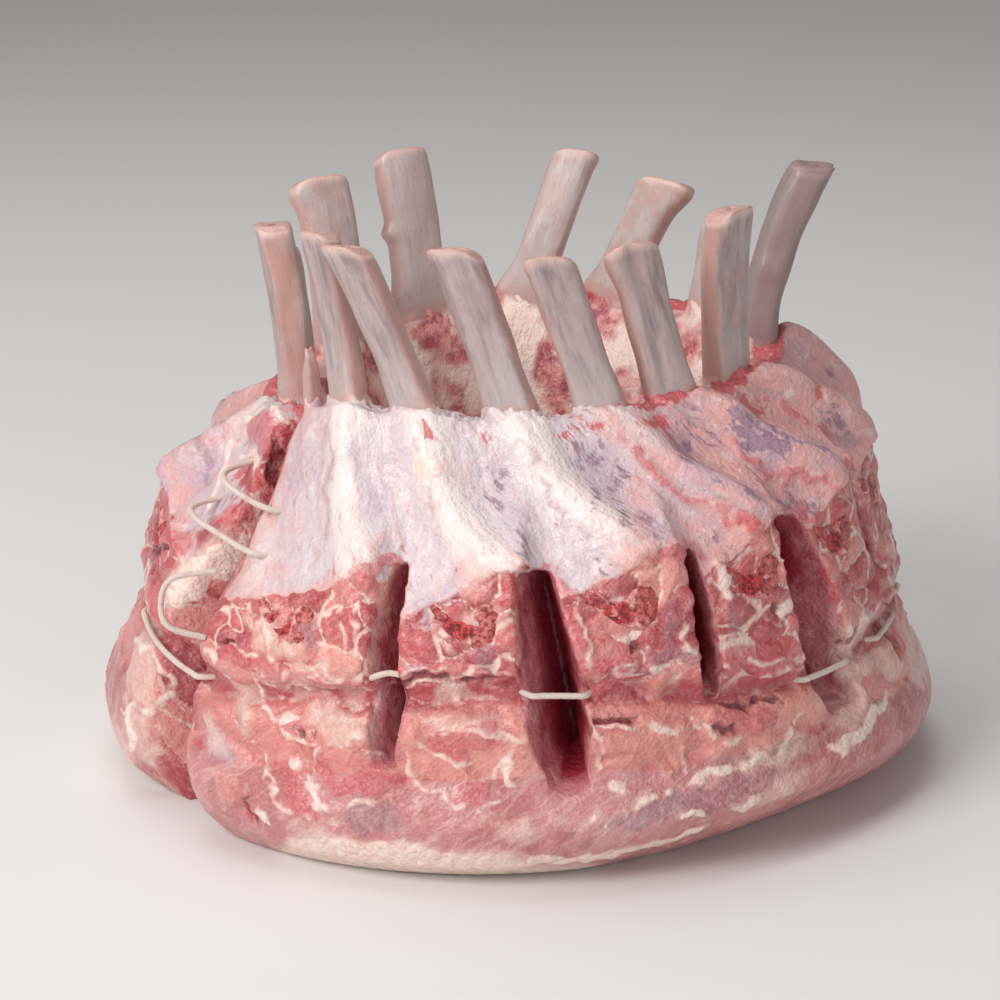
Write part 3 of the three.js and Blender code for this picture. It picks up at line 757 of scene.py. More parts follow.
def markFields(crown, chosen):
    # 0.5 on a mark's border, rising inward over a millimetre and falling outward
    fields = {}
    warp = np.stack([noiseAt(crown.places, 6, 20 + i) for i in range(3)], 1) * 2.6
    warp += np.stack([noiseAt(crown.places, 2.4, 24 + i) for i in range(3)], 1) * 1.0
    swell = 1 + 0.45 * noiseAt(crown.places, 4, 28)
    warped = crown.places + warp
    for kind, lines in chosen.items():
        field = np.zeros(len(crown.places))
        for half, *spots in lines:
            points = smoothed(np.reshape(spots, (-1, 2)), 3)
            spots = np.array([surfaceAt(crown, *point) for point in points])
            low, high = spots.min(0) - half - 7, spots.max(0) + half + 7
            near = np.flatnonzero(np.all((crown.places > low) & (crown.places < high), axis=1))
            if not len(near):
                continue
            best = np.full(len(near), -9.0)
            count = len(spots) - 1
            for index in range(count):
                away, share = distanceTo(warped[near], spots[index], spots[index + 1])
                along = np.abs(2 * (index + share) / count - 1)
                best = np.maximum(best, half * swell[near] * (1.15 - 0.6 * along ** 3) + 0.2 - away)
            field[near] = np.maximum(field[near], np.clip(0.5 + best / markFade.get(kind, 2.4), 0, 1))
        fields[kind] = field
    return fields


# how far each kind of mark fades out, where not 2.4, and how far it stands out of the meat
markFade = {"lilac": 9, "pink": 8, "shade": 4, "orange": 6, "cream": 8, "violet": 6, "lean": 3,
            "purple": 4, "blood": 4}
markRelief = {
    "violet": -0.15, "lilac": 0, "pink": -0.15, "shade": -0.3, "orange": 0.6, "cream": 0.3,
    "lean": 0.7, "purple": 0.4, "fat": 0.45, "blood": -0.2, "dark": -1.3,
}


def meatFields(crown, chosen):
    places = crown.places
    u = np.radians(crown.azimuth) * meanReach
    coarse, medium = noiseAt(places, 13, 1), noiseAt(places, 6, 2)
    fine = noiseAt(places, 3.2, 3)
    past = crown.down - crown.edge + 2.6 * medium + 1.6 * fine    # beyond the membrane's edge
    outside = (1 - crown.inside) * (1 - crown.wall) * (1 - crown.endFace)
    membrane = np.clip(0.5 - past / 2.4, 0, 1) * outside
    face = ramp(past, 0, 2) * ramp(crown.loin - crown.down + 3 * coarse, -2, 2) * outside
    low = ramp(crown.down - crown.crease, 0, 6) * face
    nearCrease = np.exp(-((crown.down - crown.crease - 3 * coarse) / 2.6) ** 2) * outside
    loin = ramp(crown.down - crown.loin + 4 * coarse + 2 * medium, -1.5, 2) * outside

    warpU = u + 6.0 * coarse + 2.6 * medium
    warpV = crown.down + 6.0 * noiseAt(places, 12, 5) + 2.6 * noiseAt(places, 6, 6)
    upper = cellsAt(warpU, warpV, *meat["cell"], 0.3)
    flatter = cellsAt(warpU, warpV + 0.15 * u, *meat["creaseCell"], 1.7)
    slanted = cellsAt(warpU, warpV - crown.rack["grain"] * 0.5 * u, *meat["lowCell"], 3.1)
    flatShare = np.exp(-((crown.down - crown.crease) / 8) ** 2)
    lowShare = ramp(crown.down - crown.crease, 4, 12)
    border = upper[0] * (1 - flatShare) + flatter[0] * flatShare
    border = border * (1 - lowShare) + slanted[0] * lowShare
    tone = np.where(lowShare > 0.5, slanted[1], np.where(flatShare > 0.5, flatter[1], upper[1]))
    seam = np.exp(-(border / meat["seamWidth"]) ** 2) * np.maximum(face, crown.endFace * 0.7)
    seam *= 1 - 0.6 * low

    marked = markFields(crown, chosen)
    fromJoin = np.abs(crown.azimuth - meat["leftJoin"])
    bandTop = meat["fatBand"] * ramp(fromJoin, 12, 24) * ramp(-fromJoin, -82, -34) - 4
    band = np.clip(0.65 + (bandTop - crown.height + 4 * coarse + 2 * medium) / 11, 0, 1) * outside
    marked["fat"] = np.maximum(marked["fat"], band)
    along = crown.phase * 20
    wrinkle = noiseAt(np.stack([along / 0.8, crown.down / 5, 0 * along], 1), 2.4, 7)
    grain = np.sin((u * 0.8 + crown.down * crown.rack["grain"] * 1.3) * 1.7 + 4 * coarse + medium)

    offset = meat["bundle"] * (np.clip(border / 2.2, 0, 1) - 0.75) * face
    offset -= 1.2 * nearCrease
    offset += 0.6 * coarse * (face + low) + 0.5 * medium * face + 0.3 * fine * face
    offset += meat["edgeLip"] * ramp(-past, -1, 0.8) * np.exp(-(past / 5) ** 2) * outside
    offset += (0.4 * wrinkle + 0.3 * medium) * membrane
    fromUnshaded = np.abs(crown.azimuth - meat["paleSide"])
    bold = 0.6 + 1.7 * ramp(fromUnshaded, 22, 62)
    bold *= ramp(crown.sunk, -1, 7) * ramp(-crown.sunk, -34, -26) * membrane
    offset += (2.2 * crown.ridge - 1.1) * bold
    offset += (0.12 * grain + 0.25 * coarse) * loin
    offset += (0.4 * medium + 0.25 * fine) * crown.wall
    offset += (0.8 * coarse + 0.5 * medium) * crown.inside
    offset += (0.3 * medium + 0.2 * fine) * crown.endFace
    for kind, field in marked.items():
        offset += markRelief[kind] * ramp(field, 0.2, 0.9) * (1 - crown.wall)
    offset *= ramp(crown.height, 0.3, 3)
    crest = around(crestHeight, crown.azimuth)
    rim = np.exp(-((crown.reach - rimReach) / 4.5) ** 2) * ramp(crown.height, crest - 9, crest - 2)
    tear = rim * meat["rimTear"] * (np.abs(noiseAt(places, 2.6, 8)) * 2.4 - 0.5)
    # painted shade in the saw cuts: the walls are painted darker the deeper they lie, less dark on one
    # side, and in two of the cuts
    cutShadeShare = 1 - 0.45 * ramp(crown.sideways, 0.2, 0.7)
    cutShadeShare -= 0.7 * ramp(crown.azimuth, 316, 326) * ramp(-crown.height, -80, -62)
    cutShadeShare -= 0.3 * ramp(-np.abs(crown.azimuth - 250.5), -4, -2)
    wave = 0.9 * medium + 0.5 * fine                # bends the streaks and fibres
    along, slant = along + wave, crown.down * crown.rack["grain"]
    turned = 1 - 0.75 * np.exp(-((crown.azimuth - 202) / 12) ** 2)    # less pink and less painted shade at the left join
    fields = {
        "membrane": membrane, "low": low, "crease": nearCrease, "loin": loin,
        "brim": np.exp(-(past / 6) ** 2) * outside,
        "wall": crown.wall, "hollow": crown.inside, "seam": seam,
        "tone": tone, "ridge": crown.ridge, "rim": rim,
        "sunk": np.clip(crown.depth / 25, 0, 1) * cutShadeShare,
        "warmSide": ramp(fromUnshaded, 18, 54) * turned,
        "flow": np.stack([along, crown.down, crown.sunk], 1),
        "slant": np.stack([u + slant + 2 * wave,
                           crown.down - u * crown.rack["grain"], crown.sunk], 1) * 0.7,
        **marked,
    }
    return offset, tear, fields


def buildRack(name, material):
    piece = fineSurface(name, racks[name])
    places, normals = vertexArrays(piece.data)
    crown = Crown(racks[name], places, normals)
    offset, tear, fields = meatFields(crown, marks if name == "front" else backMarks())
    places = places + normals * offset[:, None]
    places[:, 2] += tear
    places = keepInside(places)
    piece.data.vertices.foreach_set("co", (places * mm).astype(np.float32).ravel())
    piece.data.update()
    finishPiece(piece, "rack_" + name, fields, material)
    print("rack", name, "has", len(piece.data.vertices), "points")


meatLook = {
    "lean": "#c9585f", "leanDark": "#a83a46", "leanPale": "#da8c88", "salmon": "#dc9289",
    "fatty": "#f0c8bc", "seam": "#f6ddd0", "membrane": "#efe2df", "valley": "#d8c9ce",
    "membranePink": "#e3a5a0", "deep": "#620913", "wallFlesh": "#c57880", "wallRed": "#9a2232",
    "loin": "#c98586", "loinLine": "#ecc6bd", "loinDark": "#b86c6c",
    "rimRed": "#c23840", "spot": "#b83b45", "violet": "#83607c", "dusk": "#b8929a",
}
# Colour and a second colour that it varies to, how strong, how much of it is filled, how
# frayed, how soft the border is, and whether it is streaked along the ribs.
markLook = {
    "lilac": ("#ae96ae", "#cdbbc9", 0.62, 0.9, 1.0, 0.35, True),
    "pink": ("#e0918d", "#eeb9b0", 0.6, 0.8, 1.2, 0.3, True),
    "shade": ("#87666e", "#b5949a", 0.6, 0.85, 0.8, 0.3, True),
    "orange": ("#e59583", "#ebb0a2", 0.42, 1.0, 0.9, 0.35, False),
    "cream": ("#ecd3c8", "#e3b9ae", 0.66, 1.0, 0.7, 0.32, False),
    "lean": ("#c24b57", "#d4747a", 0.7, 1.0, 0.55, 0.22, False),
    "purple": ("#9a5b66", "#b9838a", 0.7, 1.0, 0.6, 0.25, False),
    "violet": ("#6b4260", "#957187", 0.84, 0.74, 2.7, 0.16, True),
    "blood": ("#b5202b", "#d0565a", 0.85, 0.72, 2.2, 0.16, True),
    "fat": ("#f8e7dc", "#f1d0c4", 0.9, 1.0, 0.45, 0.25, False),
    "dark": ("#7d101c", "#540a14", 0.85, 1.0, 0.9, 0.2, False),
}


def addRagged(tree, field, noise, amount, low, high, limit=1.0):
    # a mask whose border is frayed by a noise
    frayed = plus(tree, field, times(tree, minus(tree, noise, 0.5), amount))
    return addRange(tree, frayed, low, high, 0, limit)


def addMarks(tree, color, mask, noises):
    for kind, (code, other, strength, filled, fray, soft, along) in markLook.items():
        edges, tones = noises[0 if along else 1], noises[0 if along else 2]
        field = times(tree, mask[kind], filled)
        shape = addRagged(tree, field, edges, fray, 0.5 - soft, 0.5 + soft, strength)
        tint = addMix(tree, addRange(tree, tones, 0.4, 0.62), srgb(code), srgb(other))
        color = addMix(tree, shape, color, tint)
    return color


def addHollow(tree, broad, mottle):
    # the flesh inside the crown, which shows on the meat and on the feet of the ribs
    color = layer(tree, srgb("#a23c4a"), mottle, srgb("#dd958f"), 0.38, 0.64)
    return layer(tree, color, broad, srgb("#f3dcd2"), 0.42, 0.56, 0, 0.92)


def makeMeat():
    look = {name: srgb(code) for name, code in meatLook.items()}
    material, tree, surface = newMaterial("meat", 0.45, 0.12, (3.0, 1.0, 0.7), 0.5)
    spot = millimetres(tree)
    mask = masksOf(tree, ["membrane", "brim", "low", "crease", "loin", "wall", "hollow", "seam", "tone",
                          "ridge", "rim", "sunk", "warmSide", *markLook])
    flow = addAttribute(tree, "flow").outputs["Vector"]
    slant = addAttribute(tree, "slant").outputs["Vector"]
    broad = addNoise(tree, spot, 17, 2)
    mottle = addNoise(tree, spot, 5, 3, 0.6)
    fine = addNoise(tree, spot, 1.5, 2, 0.6)
    marble = addNoise(tree, spot, 5.5, 4, 0.62, (1.6, 1.6, 1), 1.0)
    streak = addNoise(tree, flow, 1.6, 3, 0.62, (1, 11, 60))
    fibre = addNoise(tree, slant, 1.6, 3, 0.6, (1, 9, 3))

    # lean: bundles of their own tone, paler and more orange below the crease, with seams
    color = layer(tree, look["leanDark"], mask["tone"], look["lean"], 0.05, 0.7)
    color = layer(tree, color, mask["tone"], look["leanPale"], 0.55, 0.95)
    lowTone = layer(tree, look["leanPale"], mask["tone"], look["salmon"], 0.1, 0.8)
    color = addMix(tree, times(tree, mask["low"], 0.7), color, lowTone)
    color = layer(tree, color, mottle, look["leanPale"], 0.42, 0.62, 0, 0.35)
    color = layer(tree, color, mottle, look["leanDark"], 0.42, 0.26, 0, 0.35)
    color = layer(tree, color, fibre, look["fatty"], 0.52, 0.72, 0, 0.25)
    color = layer(tree, color, fibre, look["leanDark"], 0.42, 0.3, 0, 0.25)
    vein = addRange(tree, apart(tree, marble, 0.5), 0.014, 0.0)
    vein = times(tree, vein, addRange(tree, mottle, 0.4, 0.65))
    vein = times(tree, vein, addRange(tree, mask["low"], 0, 1, 0.45, 0.2))
    color = addMix(tree, vein, color, look["seam"])
    seam = times(tree, mask["seam"], addRange(tree, broad, 0.36, 0.52, 0.25, 1))
    color = addMix(tree, addRagged(tree, seam, fine, 0.6, 0.25, 0.85, 0.8), color, look["seam"])
    # painted shade along the crease
    color = addMix(tree, times(tree, mask["crease"], 0.7), color, look["leanDark"])

    # loin
    lined = layer(tree, look["loin"], broad, look["loinDark"], 0.42, 0.62)
    lined = layer(tree, lined, mottle, look["fatty"], 0.48, 0.7, 0, 0.35)
    grain = addNoise(tree, slant, 6.5, 2, 0.5, (1, 7, 3), 0.9)
    lines = addRange(tree, apart(tree, grain, 0.5), 0.04, 0.0)
    lined = addMix(tree, times(tree, lines, 0.28), lined, look["loinLine"])
    lined = layer(tree, lined, fibre, look["loinDark"], 0.55, 0.75, 0, 0.35)
    color = addMix(tree, addRagged(tree, mask["loin"], fine, 0.4, 0.3, 0.7), color, lined)

    # walls of the saw cuts, painted darker red with depth as painted shade, and the hollow
    flesh = addMix(tree, addRagged(tree, mask["sunk"], mottle, 0.3, 0.22, 0.45), look["wallFlesh"],
                   look["wallRed"])
    flesh = addMix(tree, addRagged(tree, mask["sunk"], mottle, 0.3, 0.42, 0.8), flesh, look["deep"])
    flesh = layer(tree, flesh, broad, look["wallRed"], 0.46, 0.6, 0, 0.6)
    flesh = layer(tree, flesh, mask["sunk"], look["seam"], 0.07, 0.02, 0, 0.4)
    paler = times(tree, addRange(tree, mottle, 0.48, 0.66, 0, 0.35),
                  addRange(tree, mask["sunk"], 0.5, 0.15))
    flesh = addMix(tree, paler, flesh, look["fatty"])
    color = addMix(tree, mask["wall"], color, flesh)
    color = addMix(tree, mask["hollow"], color, addHollow(tree, broad, mottle))

    # membrane
    skin = layer(tree, look["valley"], mask["ridge"], look["membrane"], 0.1, 0.7)
    pinkish = plus(tree, times(tree, mask["warmSide"], 0.33), streak)
    pinkish = plus(tree, pinkish, times(tree, mask["brim"], 0.16))
    # painted shade: the membrane turns dusky mauve away from the front-left side
    skin = addMix(tree, times(tree, mask["warmSide"], 0.85), skin, look["dusk"])
    skin = layer(tree, skin, pinkish, look["membranePink"], 0.5, 0.9, 0, 0.85)
    skin = layer(tree, skin, mottle, look["membrane"], 0.52, 0.72, 0, 0.5)
    spots = times(tree, addRange(tree, streak, 0.6, 0.7), addRange(tree, broad, 0.48, 0.6))
    skin = addMix(tree, times(tree, spots, 0.55), skin, look["spot"])
    stripes = addNoise(tree, flow, 1.0, 3, 0.6, (1, 9, 60))
    valley = times(tree, addRange(tree, mask["ridge"], 0.6, 0.2),
                   addRange(tree, mask["warmSide"], 0.0, 0.8, 0.2, 0.85))
    valley = times(tree, valley, addRange(tree, broad, 0.42, 0.6))
    skin = addMix(tree, times(tree, valley, addRange(tree, stripes, 0.52, 0.64)), skin, look["violet"])
    border = addRagged(tree, mask["membrane"], mottle, 0.9, 0.3, 0.75)
    lip = addRagged(tree, mask["membrane"], fine, 0.5, 0.08, 0.4, 0.7)
    color = addMix(tree, lip, color, look["fatty"])
    color = addMix(tree, border, color, skin)
    torn = times(tree, mask["rim"], plus(tree, mask["warmSide"], 0.42))
    color = addMix(tree, addRagged(tree, torn, mottle, 1.6, 0.45, 0.7, 0.8), color, look["rimRed"])

    # marks
    frayFlow = blend(tree, stripes, 0.75, fine, 0.25)
    frayFace = blend(tree, mottle, 0.5, fine, 0.5)
    color = addMarks(tree, color, mask, (frayFlow, frayFace, fine))
    speckle = addNoise(tree, spot, 0.8, 2, 0.6)
    outer = minus(tree, 1.0, times(tree, mask["wall"], 0.9))
    pale = times(tree, addRange(tree, speckle, 0.4, 0.65, 0, 0.1), outer)
    color = addMix(tree, pale, color, look["fatty"])
    color = layer(tree, color, speckle, look["leanDark"], 0.46, 0.3, 0, 0.12)
    tree.links.new(color, surface.inputs["Base Color"])
    height = blend(tree, fine, 0.7, mottle, 0.9)
    height = minus(tree, height, times(tree, mask["seam"], 0.3))
    threads = addNode(tree, "ShaderNodeMix", {0: mask["membrane"], 2: fibre, 3: streak}).outputs[0]
    height = plus(tree, height, times(tree, threads, 0.6))
    addBump(tree, surface, height, 0.9, ["Normal"])
    addBump(tree, surface, mottle, 1.1, ["Coat Normal"])
    return material


def unitTube(sides, rings, capRings, capStep):
    # radius and height 1, with rings along it and in its caps
    shape = bmesh.new()
    bmesh.ops.create_cone(shape, cap_ends=capRings > 0, segments=sides, radius1=1, radius2=1, depth=1)
    upright = [e for e in shape.edges if abs(e.verts[0].co.z - e.verts[1].co.z) > 0.5]
    bmesh.ops.subdivide_edges(shape, edges=upright, cuts=rings - 1)
    for _ in range(capRings):
        for cap in [f for f in shape.faces if len(f.verts) == sides]:
            bmesh.ops.inset_region(shape, faces=[cap], thickness=capStep)
    return shape


def tubePlaces(shape):
    # the angle round the tube, the share of its radius, and the share of its height
    spots = np.array([v.co[:] for v in shape.verts])
    angle = np.arctan2(spots[:, 1], spots[:, 0])
    return angle, np.clip(np.hypot(spots[:, 0], spots[:, 1]), 0, 1), spots[:, 2] + 0.5


def placeTube(shape, places):
    for vert, place in zip(shape.verts, places.tolist()):
        vert.co = Vector(place) * mm
    bmesh.ops.recalc_face_normals(shape, faces=shape.faces)


def polar(azimuth, reach, height=0.0):
    angle = math.radians(azimuth)
    return np.array([reach * math.cos(angle), reach * math.sin(angle), height])


def unit(vectors):
    return vectors / np.linalg.norm(vectors, axis=-1, keepdims=True)


bone = {
    "sides": 48, "rings": 72, "capRings": 7,
    "sunk": 16, "bow": 0.09, "level": 0.8,       # as the solids' ribs are
    "flare": 1.04, "waist": 0.08, "waistPlace": 1.15, "taper": 0.12,
    "square": 3.0,               # 2 is an oval section, and more is squarer
    "marrow": 0.7,               # how deep the marrow lies below the sawn top
    "edgeRound": 0.35, "corner": 1.1,    # rounding of the sawn top's edge and its corners
    "endReach": 76,              # how far out the lower end's face bends into the meat
    "grain": 0.22, "lumps": 0.45,    # relief along the bone, and unevenness
}

# Foot azimuth and reach; tip azimuth, reach and height; width and thickness. flute is a groove
# down the outside (place across, -1 to 1 anticlockwise, depth, half width), knobs swell one
# side (height, side, how far, half length), slope drops a side of the top, back drops its
# inside (or the outside, if below 0), warm is how pink the bone is, dim is how much painted
# shade greys it, and web widens the foot.
ribs = {
    "front_1": {"back": 1.2, "foot": (230.5, 74), "tip": (220, 72.5, 165), "size": (11.2, 8.8),
                "warm": 0.4, "flute": (0.15, 0.7, 0.3), "knobs": [(1.0, 1, 1.6, 0.1)],
                "slope": (-1, 0.8)},
    "front_2": {"back": 2.0, "foot": (247, 73), "tip": (234.3, 81, 165), "size": (13.2, 8.8),
                "warm": 0.15, "flute": (0.5, 0.4, 0.3), "knobs": [(0.98, -1, 0.8, 0.05)],
                "slope": (1, 1.0)},
    "front_3": {"back": 1.6, "foot": (268, 69), "tip": (256, 75, 166), "size": (14.4, 8.6), "warm": 0.1,
                "flute": (0.35, 0.4, 0.35), "knobs": [(1.0, -1, 0.9, 0.03)], "slope": (1, 1.8)},
    "front_4": {"back": 3.0, "foot": (288, 70), "tip": (275, 76, 163.5), "size": (14.2, 9), "warm": 0.15,
                "flute": (0.0, 0.5, 0.4), "knobs": [(0.97, -1, 0.4, 0.05)], "slope": (1, 0.3)},
    "front_5": {"back": 3.0, "foot": (306, 70), "tip": (292.5, 76, 166), "size": (14.4, 9.2),
                "warm": 0.35, "flute": (-0.25, 1.1, 0.16), "knobs": [(0.93, -1, 1.6, 0.1)],
                "slope": (-1, 0.5)},
    "front_6": {"back": 1.8, "foot": (328, 68), "tip": (320, 74, 171.5), "size": (15.2, 10.4),
                "warm": 0.3, "flute": (-0.3, 0.6, 0.3), "knobs": [(0.8, -1, 0.5, 0.2)],
                "slope": (-1, 1.6)},
    "front_7": {"foot": (362, 71), "tip": (363, 84.5, 174.4), "size": (14.6, 12.6), "warm": 0.3,
                "dim": 0.7, "bow": 0.2, "flute": (-0.2, 0.8, 0.25), "knobs": [(0.55, -1, 0.7, 0.05)],
                "slope": (-1, 0.4)},
    "back_1": {"foot": (36, 70), "tip": (36, 76, 149), "size": (14, 10), "warm": 0.5,
               "flute": (0.0, 0.5, 0.3), "knobs": [], "slope": (1, 0.8)},
    "back_2": {"back": -2.8, "foot": (66, 69), "tip": (53, 75, 157.5), "size": (16, 11), "warm": 0.8,
               "web": 0.3, "flute": (0.1, 0.5, 0.4), "knobs": [(0.97, -1, 3.0, 0.1)], "slope": (1, 0.6)},
    "back_3": {"back": -3.0, "foot": (89, 68), "tip": (76.5, 77, 163.5), "size": (14.4, 10.4),
               "warm": 0.5, "web": 0.45, "flute": (0.0, 0.3, 0.4), "knobs": [(1.0, -1, 0.9, 0.06)],
               "slope": (1, 0.6)},
    "back_4": {"back": -3.0, "foot": (117, 67), "tip": (120, 76, 165.5), "size": (19, 10.5), "warm": 0.3,
               "web": 0.25, "flute": (-0.1, 0.5, 0.3), "knobs": [(0.62, 1, 1.5, 0.035)],
               "slope": (1, 0.8)},
    "back_5": {"back": -2.8, "foot": (145, 66), "tip": (142, 78, 160.5), "size": (18.6, 11), "turn": -25,
               "warm": 0.7, "flute": (0.5, 0.9, 0.25), "knobs": [(0.93, 1, 2.0, 0.07)],
               "slope": (1, 0.5)},
    "back_6": {"foot": (171, 66), "tip": (171, 71, 148), "size": (14, 10), "warm": 0.5,
               "flute": (0.0, 0.5, 0.3), "knobs": [], "slope": (1, 0.8)},
    "back_7": {"foot": (197, 67), "tip": (188, 71.5, 160), "size": (14.2, 11.6), "warm": 0.8,
               "flute": (0.3, 1.0, 0.3), "knobs": [(0.95, -1, 1.3, 0.07)], "slope": (-1, 0.8)},
    "front_sliver": {"foot": (222.8, 77.5), "tip": (222.3, 78.5, 134.5), "size": (4, 5.5), "warm": 1.0,
                     "point": 0.55, "knobs": [], "slope": (-1, 1.0)},
}


def ribPlaces(name, shape):
    rib = ribs[name]
    back = rib.get("back", 0)
    angle, share, t = tubePlaces(shape)
    seed = seedOf(name, 31)
    azimuth, reach = rib["foot"]
    foot = polar(azimuth, reach, float(around(crestHeight, azimuth)))
    azimuth, reach, height = rib["tip"]
    tip = polar(azimuth, reach, height + 0.85 * abs(back))
    rise = tip - foot
    length = np.linalg.norm(rise)
    whole = length + bone["sunk"]
    sunk = foot - rise / length * bone["sunk"] + polar(azimuth, 2)
    middle = (sunk + tip) / 2 + polar(azimuth, -rib.get("bow", bone["bow"]) * length)
    at = t[:, None]
    spine = sunk * (1 - at) ** 2 + middle * 2 * at * (1 - at) + tip * at * at
    along = unit((middle - sunk) * (1 - at) + (tip - middle) * at)
    across = polar(azimuth + 90 + rib.get("turn", 0), 1)
    side = unit(across - along * (along @ across)[:, None])
    out = np.cross(side, along)

    pinch = bone["waist"] * np.sin(np.pi * np.minimum(1, t * bone["waistPlace"]))
    waist = bone["flare"] - pinch - bone["taper"] * t
    waist *= (1 - rib.get("point", 0) * ramp(t, 0.75, 1)) * (1 - 0.05 * ramp(t, 0.97, 1))
    sideways, outward = (np.sign(turn) * np.abs(turn) ** (2 / bone["square"]) * share
                         for turn in (np.cos(angle), np.sin(angle)))
    bare = bone["sunk"] / whole                              # where the rib leaves the meat
    web = 1 + rib.get("web", 0.08) * ramp(-t, -bare - 0.22, -bare + 0.02)
    wide = sideways * rib["size"][0] / 2 * waist * web
    thick = outward * rib["size"][1] / 2 * waist
    for height, toward, swell, reachAlong in rib["knobs"]:
        near = np.exp(-((t - height) / reachAlong) ** 2)
        wide += swell * toward * near * np.clip(sideways * toward, 0, 1)
    place, depth, spread = rib.get("flute", (0, 0, 1))
    groove = np.exp(-((sideways - place) / spread) ** 2) * ramp(t, bare, bare + 0.2)
    thick -= depth * groove * np.clip(outward, 0, 1) * share
    rough = bone["grain"] * noiseAt(np.stack([wide, thick, t * whole / 7], 1), 1.6, seed)
    rough += bone["lumps"] * noiseAt(np.stack([wide, thick, t * whole / 2.5], 1), 5, seed + 1)
    rough *= 1 - 0.8 * ramp(t, 0.93, 0.985)
    wide += rough * np.sign(sideways) * share * np.abs(np.cos(angle))
    thick += rough * np.sign(outward) * share * np.abs(np.sin(angle))

    places = spine + side * wide[:, None] + out * thick[:, None]
    level = -bone["level"] * (side[:, 2] * wide + out[:, 2] * thick) / along[:, 2]
    toward, drop = rib["slope"]
    level -= drop * np.clip(sideways * toward, 0, 1) ** 2 + bone["corner"] * np.abs(sideways) ** 5
    level -= abs(back) * (0.5 - 0.5 * np.sign(back) * outward)
    places += along * (level * ramp(t, 0.86, 1))[:, None]
    cap = (t > 0.999) * 1.0
    lift = -bone["edgeRound"] * ramp(share, 0.8, 1.0) ** 2
    lift -= bone["marrow"] * ramp(-share, -0.7, -0.35) * (0.7 + noiseAt(places, 2.0, seed + 2))
    lift += 0.25 * noiseAt(places, 1.2, seed + 3) * (share < 0.95)
    places[:, 2] += lift * cap
    tuck = max(0, bone["endReach"] - rib["foot"][1] - rib["size"][1] / 2)
    places += polar(rib["foot"][0], tuck) * (ramp(-t, -bare, 0) ** 2)[:, None]
    fields = {
        "above": (t - bare) * whole + 3 * noiseAt(places, 3, seed + 4), "below": (1 - t) * whole,
        "core": share, "sawn": cap, "edge": np.abs(sideways), "outer": outward * 0.5 + 0.5,
        "warm": np.full(len(t), rib["warm"], float),
        "dim": np.full(len(t), rib.get("dim", 0), float),
        "flow": np.stack([wide + seed * 9, thick, t * whole], 1),
    }
    return keepInside(places), fields


def buildRib(name, material):
    small = name.endswith("sliver")
    sides, rings = (24, 24) if small else (bone["sides"], bone["rings"])
    shape = unitTube(sides, rings, bone["capRings"], 0.125)
    places, fields = ribPlaces(name, shape)
    placeTube(shape, places)
    node = "rib_" + name
    finishPiece(newPiece(node, shape), node, fields, material)


boneLook = {
    "pale": "#b8a6a3", "grey": "#8d7b7e", "base": "#c5bab8", "pink": "#c99a90",
    "orange": "#c18f80", "rim": "#e3c3ba", "marrow": "#a2444a",
    "lilac": "#ad959b", "dusk": "#7b696b", "top": "#d3aaa1", "inside": "#d2c3bf",
}


def makeBone():
    look = {name: srgb(code) for name, code in boneLook.items()}
    material, tree, surface = newMaterial("bone", 0.38, 0.10, (2.0, 1.0, 0.8), 0.2)
    spot = millimetres(tree)
    mask = masksOf(tree, ["above", "below", "core", "sawn", "edge", "outer", "warm", "dim"])
    flow = addAttribute(tree, "flow").outputs["Vector"]
    band = addNoise(tree, flow, 2.4, 4, 0.62, (1, 1, 7), 0.3)
    fleck = addNoise(tree, flow, 0.8, 4, 0.7, (1, 1, 3))
    blotch = addNoise(tree, spot, 7, 3, 0.55)
    color = layer(tree, look["grey"], band, look["pale"], 0.3, 0.64)
    color = layer(tree, color, blotch, look["lilac"], 0.5, 0.7, 0, 0.6)
    # painted light: the inner side of each rib is painted lighter
    color = layer(tree, color, mask["outer"], look["inside"], 0.45, 0.2, 0, 0.7)
    color = layer(tree, color, mask["above"], look["base"], 26, 2, 0, 0.6)
    sides = plus(tree, mask["edge"], times(tree, band, 0.3))
    sides = times(tree, addRange(tree, sides, 0.95, 1.18), 0.75)
    color = addMix(tree, sides, color, look["pink"])
    warmth = times(tree, addRange(tree, blotch, 0.4, 0.6), mask["warm"])
    color = addMix(tree, times(tree, warmth, 0.6), color, look["orange"])
    tip = addRange(tree, plus(tree, mask["below"], times(tree, blotch, 4)), 6, 2, 0, 0.85)
    color = addMix(tree, tip, color, look["rim"])
    color = layer(tree, color, fleck, look["rim"], 0.66, 0.74, 0, 0.5)
    color = layer(tree, color, fleck, look["dusk"], 0.42, 0.3, 0, 0.4)
    sawn = layer(tree, look["top"], fleck, look["pink"], 0.4, 0.6)
    heart = plus(tree, mask["core"], times(tree, plus(tree, blotch, fleck), 0.35))
    sawn = layer(tree, sawn, heart, look["marrow"], 0.66, 0.42, 0, 0.8)
    color = addMix(tree, mask["sawn"], color, sawn)
    torn = plus(tree, mask["above"], times(tree, fleck, -3))
    color = layer(tree, color, torn, look["pink"], 4.0, -1.2, 0, 0.6)
    inner = addHollow(tree, addNoise(tree, spot, 17, 2), addNoise(tree, spot, 5, 3, 0.6))
    color = layer(tree, color, torn, inner, 0.8, -3.2)
    # painted shade: a rib that lies in shade is greyed toward the dusky tone
    color = addMix(tree, mask["dim"], color, look["dusk"])
    tree.links.new(color, surface.inputs["Base Color"])
    addBump(tree, surface, plus(tree, band, times(tree, fleck, 0.5)), 0.25)
    return material


